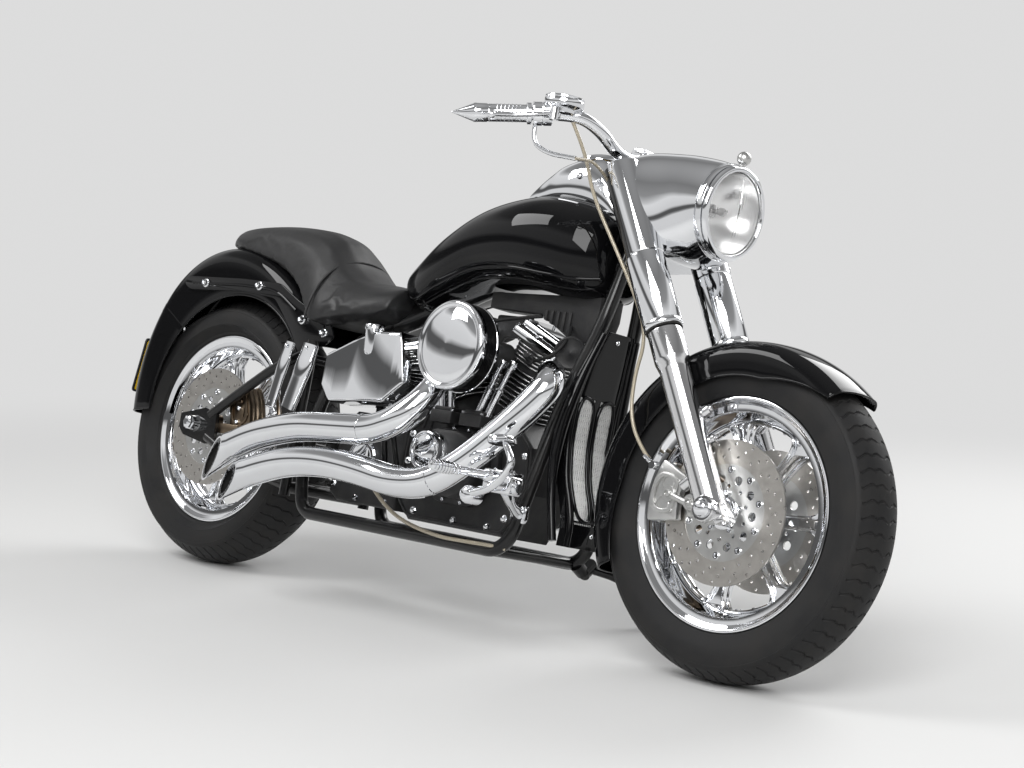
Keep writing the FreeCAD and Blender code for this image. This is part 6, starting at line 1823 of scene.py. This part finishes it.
def make_right_controls():
    """Brake pedal with its oval pad, master cylinder, arm and peg."""
    bright = [foot_bracket(-1)]
    bright.append(pedal_arm([(1130, -292, 276), (1196, -296, 300), (1238, -298, 350), (1216, -300, 392)],
                            (1130, -262, 276), (1130, -306, 276)))
    oval = [(21 * cos(turn), 38 * sin(turn)) for turn in turns(40)]
    small = shrunk(oval, (0, 0), 0.76, 0.82)
    place = stood((1206, -301, 396), (-0.32, 0, 0.95), (0.95, 0, 0.32))
    bright.append(cut_plate([oval, small], 13, 3).moved(place))
    bright.append(cut_plate([oval], 4, 1.5).moved(place @ by(0, 0, -5)))
    tread = total([soft_box((28 - 3 * abs(i), 5, 6), 1.5).moved(place @ by(0, 9 * i, 0))
                   for i in range(-3, 4)])
    body = soft_box((78, 44, 40), 7, 3).moved(by(1168, -237, 309))
    lid = soft_box((70, 46, 8), 3).moved(by(1166, -237, 333))
    neck = [(15, 0), (15, 5), (10, 8), (10, 12), (0, 12)]
    neck = lathe_between((1204, -237, 306), (1216, -237, 306), neck, 28)
    screws = bolts(socket_bolt(4, 3), [(1140, -237, 337), (1192, -237, 337)], UP)
    rod = bar((1132, -237, 300), (1120, -262, 290), 5, 16)
    bright += [body, lid, neck, screws, rod]
    bright.append(foot_peg([(x, y, PEG_HEIGHT) for x, y in ((1150, -262), (1120, -330), (1104, -392))]))
    bright.append(bar((1150, -238, 318), (1150, -264, 322), 12, 24))
    add("brake_pedal_set", total(bright), "chrome", "machine", ["foot_controls_right"])
    add("brake_pedal_tread", tread, "rubber", "machine")


def make_left_controls():
    """Shift lever, toe peg, arm and foot peg."""
    bright = [foot_bracket(1)]
    bright.append(pedal_arm([(1150, 276, 306), (1200, 280, 316), (1250, 282, 352)],
                            (1150, 214, 306), (1150, 290, 306)))
    toe = [(8, 0)]
    for i in range(6):
        toe += [(12.6, 6 + i * 11), (12.6, 11 + i * 11), (10.6, 12 + i * 11), (10.6, 16 + i * 11)]
    toe += [(11, 76), (7, 79.5), (0, 80)]
    bright.append(lathe_between((1246, 250, 350), (1246, 330, 350), toe, 28))
    bright.append(foot_peg([(x, y, PEG_HEIGHT) for x, y in ((1140, 262), (1114, 330), (1098, 392))]))
    bright.append(bar((1146, 226, 312), (1140, 264, 322), 12, 24))
    add("shift_lever_set", total(bright), "chrome", "machine", ["foot_controls_left"])


# Drive, rear brake and what hangs under the tank

ENGINE_END, CLUTCH_END = (1006, 330), (640, 318)
PRIMARY_MIDDLE = (820, 322)


def arc_about(centre, radius, start, end, steps=14):
    return [polar(radius, turn, centre) for turn in spread(start, end, steps)]


def make_primary():
    """Bright primary cover with its two round covers, raised rib and rim screws."""
    face = 187
    outline = (arc_about(ENGINE_END, 94, -pi / 2, pi / 2)
               + arc_about((CLUTCH_END[0] - 7, CLUTCH_END[1] - 1), 103.2, pi / 2, 3 * pi / 2))
    small = shrunk(outline, PRIMARY_MIDDLE, 0.95, 0.84)
    shell = side_plate(outline, 140, 62, 6) + side_plate(small, 152, 68, 14)
    derby = lathe([(62, -6), (62, 2), (59, 5), (54, 6), (50, 4.6), (30, 6.4), (0, 7)], 72)
    ring = lathe([(54, -6), (54, 1), (51, 3.4), (46, 4), (42, 2.6), (24, 3.8), (0, 4)], 72)
    covers = total([cover.moved(stood((x, face, z), LEFT))
                    for cover, (x, z) in ((derby, CLUTCH_END), (ring, ENGINE_END))])
    rib = tube(rounded([(716, face - 1, 350), (800, face, 362), (890, face, 362), (930, face - 1, 352)],
                       30, 5), 4.5, 12)
    spots = shrunk(outline[::2], PRIMARY_MIDDLE, 0.972, 0.92)
    spots += [(x, z) for x in (720, 800, 880, 950) for z in (233, 410)]
    heads = bolts(socket_bolt(4.6, 5), [(x, 170, z) for x, z in spots], LEFT)
    spots = [polar(56, turn, CLUTCH_END) for turn in (0.3, 1.56, 2.8, 4.1, 5.3)]
    heads += bolts(socket_bolt(3.4, 3), [(x, face + 5, z) for x, z in spots], LEFT)
    add("primary_shell", shell + covers + rib + heads, "chrome", "machine", ["primary_cover"])


def make_rear_caliper():
    bright, inner = caliper_shapes(REAR_AXLE, 22, REAR_DISC_SIDE, 22)
    strap = soft_box((126, 10.6, 26), 3).moved(by(87, -117.3, 331))
    riser = soft_box((32, 12, 70), 3).moved(by(134, -106, 365))
    ear = bar((60, -104, 350), (60, -122.6, 350), 12, 24)
    heads = bolts(socket_bolt(6, 5), [(60, -122.4, 350), (134, -112, 352), (134, -112, 386)], RIGHT)
    add("rear_brake_caliper", bright + inner + strap + riser + ear, "bronze", "machine", ["rear_caliper"])
    add("rear_caliper_bolts", heads, "chrome", "machine")


def make_axle_ends():
    """Nuts on both ends of the rear axle, with their washers."""
    nut = lathe([(19, 0), (19, 2), (16, 2.2), (16, 9), (13, 11), (8, 12), (8, 15), (0, 15)], 6)
    ends = total([nut.moved(stood((0, 150 * side, AXLE_HEIGHT), (0, side, 0))) for side in (-1, 1)])
    add("rear_axle_nuts", ends, "chrome", "machine")


def make_oil_line():
    route = [(700, -150, 250), (728, -146, 226), (800, -146, 194), (916, -144, 176), (1010, -146, 178),
             (1080, -143, 180), (1108, -128, 178)]
    hose_curve("engine_oil_line", route, 4.5, "braid", "machine", ["oil_line"])


def make_belt():
    """Toothed belt round both pulleys, teeth on its inner face."""
    big, small = 100.6, 42
    across = Vector(GEARBOX_AT) - Vector((0, AXLE_HEIGHT))
    lean, tilt = asin((big - small) / across.length), atan2(across.y, across.x)
    path = arc_about((0, AXLE_HEIGHT), big, tilt + pi / 2 - lean, tilt + 3 * pi / 2 + lean, 60)
    path += arc_about(GEARBOX_AT, small, tilt - pi / 2 + lean, tilt + pi / 2 - lean, 26)
    loop = []
    for (x0, z0), (x1, z1) in zip(path, path[1:] + path[:1]):
        pieces = max(1, round(sqrt((x1 - x0) ** 2 + (z1 - z0) ** 2) / 5))
        loop += list(zip(spread(x0, x1, pieces), spread(z0, z1, pieces)))[:-1]
    outer, inner = [], []
    for i, (here, back, on) in enumerate(zip(loop, loop[-1:] + loop, loop[1:] + loop[:1])):
        here, way = Vector(here), (Vector(on) - Vector(back)).normalized()
        out = Vector((way.y, -way.x))
        outer.append(tuple(here + out * 7.4))
        inner.append(tuple(here + out * (4.4 if i % 2 else 5.6)))
    band = cut_plate([outer, inner], 17).moved(side_view(PULLEY_SIDE))
    add("toothed_belt", band, "rubber", "machine", ["drive_belt"], sharp=30)


def make_under_tank():
    """Black coil cover, top mount, leads and horn in the space under the tank."""
    block = side_plate([(838, 736), (838, 700), (1000, 694), (1096, 642), (1150, 640), (1166, 700),
                        (1166, 744)], 0, 76, 6)
    fins = [side_plate([(x, 704), (x, 684 - drop), (x + 8, 681 - drop), (x + 8, 704)], 0, 84, 1)
            for x, drop in ((1012 + 18 * i, 7 * i) for i in range(5))]
    corners = [(868, 640), (912, 640), (936, 600), (944, 690), (836, 690), (844, 600)]
    mount = side_plate(rounded(corners, 8, 3, closed=True), 0, 10, 2)
    horn = lathe([(10, -20), (26, -16), (34, -4), (36, 6), (33, 9), (26, 6), (12, 8), (0, 12)], 40)
    horn = horn.moved(stood((1120, -52, 616), (0.5, -0.8, -0.2)))
    add("coil_cover", block + total(fins) + mount + horn, "case", "machine")
    for name, path in (("spark_lead_front", [(1096, -40, 672), (1124, -72, 640), (1104, -92, 600),
                                             (1062, -84, 590), (1040, -72, 588)]),
                       ("spark_lead_rear", [(1004, -38, 690), (930, -64, 676), (860, -92, 650),
                                            (800, -94, 612), (784, -76, 592)])):
        hose_curve(name, path, 4, "rubber", "machine", [])


def make_rest():
    make_right_controls()
    make_left_controls()
    make_primary()
    make_rear_caliper()
    make_axle_ends()
    make_oil_line()
    make_belt()
    make_under_tank()


# Room, light and finish of what the frame brings


NODE_FINISHES = {
    "chrome": ["fork_covers", "fork_trees", "front_axle", "rear_axle", "nacelle", "lamp_ring",
               "handlebar", "grips", "hand_controls", "tank_dash", "rocker_boxes", "cam_cover",
               "pushrod_tubes", "air_cleaner", "primary_cover", "exhaust_front", "exhaust_rear",
               "oil_tank", "side_covers", "foot_controls_right", "foot_controls_left",
               "front_calipers"],
    "polished": ["fork_sliders", "front_rim", "rear_rim"],
    "disc": ["front_discs", "rear_disc", "rear_pulley"],
    "paint": ["front_fender", "rear_fender", "tank", "chin_spoiler", "fender_struts"],
    "frame": ["frame", "swingarm", "side_stand", "stand_bracket"],
    "bronze": ["rear_caliper"],
    "case": ["crankcase", "gearbox", "intake", "cylinders"],
    "glass": ["lamp_lens"], "red": ["tail_lamp"], "leather": ["seat"], "plate": ["number_plate"],
    "rubber": ["drive_belt", "front_tyre", "rear_tyre"], "braid": ["brake_hose", "oil_line"],
}


def finish_nodes():
    for finish, names in NODE_FINISHES.items():
        for name in names:
            mesh = frame["nodes"][name].data
            mesh.materials.clear()
            mesh.materials.append(FINISHES[finish])


PALE = 0.72
FLOOR_REACH = 14
FADE_FROM, FADE_TO = 1.5, 4.5
SKY_STOPS = ((0.0, PALE), (0.09, PALE), (0.13, 0.3), (0.17, 0.1), (0.24, 0.1), (0.3, 0.7),
             (0.48, 0.8), (0.58, 0.3), (0.76, 0.22), (1.0, 0.4))
LAMPS = (("key", (3.0, -3.6, 3.8), 220, 3.0), ("fill", (-2.6, -2.6, 4.2), 110, 2.2),
         ("back", (0.5, 4.2, 3.2), 150, 3.2))
LAMPS_AIM_HEIGHT = 0.5


def computed(tree, operation, first, second):
    return new_node(tree, "Math", {0: first, 1: second}, operation=operation).outputs["Value"]


def floor_finish():
    """Pale floor that takes the shadow near the machine and turns into the backdrop far off."""
    material = make_finish("floor_paint", (0.66, 0.66, 0.655), 0.0, 0.7, 0.1, 1.2,
                           spot_colour=(0.62, 0.62, 0.615))
    tree = material.node_tree
    place = own_place(tree)
    reach = new_node(tree, "VectorMath", {0: place}, operation="LENGTH").outputs["Value"]
    share = remapped(tree, reach, FADE_FROM, FADE_TO, 0, 1, interpolation_type="SMOOTHSTEP")
    seen = new_node(tree, "LightPath", {})
    kinds = seen.outputs["Is Camera Ray"]
    for kind in ("Is Glossy Ray", "Is Transmission Ray"):
        kinds = computed(tree, "MAXIMUM", kinds, seen.outputs[kind])
    share = computed(tree, "MULTIPLY", kinds, share)
    glow = new_node(tree, "Emission", {"Color": (PALE, PALE, PALE, 1)}).outputs["Emission"]
    paint = tree.nodes["Principled BSDF"].outputs["BSDF"]
    mix = new_node(tree, "MixShader", {0: share, 1: paint, 2: glow}).outputs["Shader"]
    feed(tree, tree.nodes["Material Output"], {"Surface": mix})
    return material


def make_floor():
    reach = FLOOR_REACH
    floor = bpy.data.meshes.new("floor")
    floor.from_pydata([(-reach, -reach, 0), (reach, -reach, 0), (reach, reach, 0), (-reach, reach, 0)],
                      [], [(0, 1, 2, 3)])
    ground = bpy.data.objects.new("floor", floor)
    bpy.context.scene.collection.objects.link(ground)
    floor.materials.append(floor_finish())


def make_sky():
    """Banded sky that is pale at the horizon."""
    world = bpy.data.worlds.new("studio")
    bpy.context.scene.world = world
    world.use_nodes = True
    tree = world.node_tree
    place = new_node(tree, "TexCoord", {}).outputs["Generated"]
    height = new_node(tree, "SeparateXYZ", {"Vector": place}).outputs["Z"]
    ramp = new_node(tree, "ValToRGB", {"Fac": height})
    elements = ramp.color_ramp.elements
    while len(elements) < len(SKY_STOPS):
        elements.new(0.5)
    for element, (spot, level) in zip(elements, SKY_STOPS):
        element.position = spot
        element.color = (level, level, level, 1)
    feed(tree, tree.nodes["Background"], {"Color": ramp.outputs["Color"]})


def make_lamps():
    for name, at, power, size in LAMPS:
        lamp = bpy.data.lights.new(name, "AREA")
        lamp.energy, lamp.size = power, size
        holder = bpy.data.objects.new(name, lamp)
        holder.matrix_world = stood(at, Vector(at) - Vector((0, 0, LAMPS_AIM_HEIGHT)))
        bpy.context.scene.collection.objects.link(holder)


def make_room():
    make_floor()
    make_sky()
    make_lamps()
    bpy.context.scene.view_settings.view_transform = "Standard"


make_camera()
make_room()
finish_nodes()
make_wheels()
make_front()
make_body()
make_engine()
make_rest()
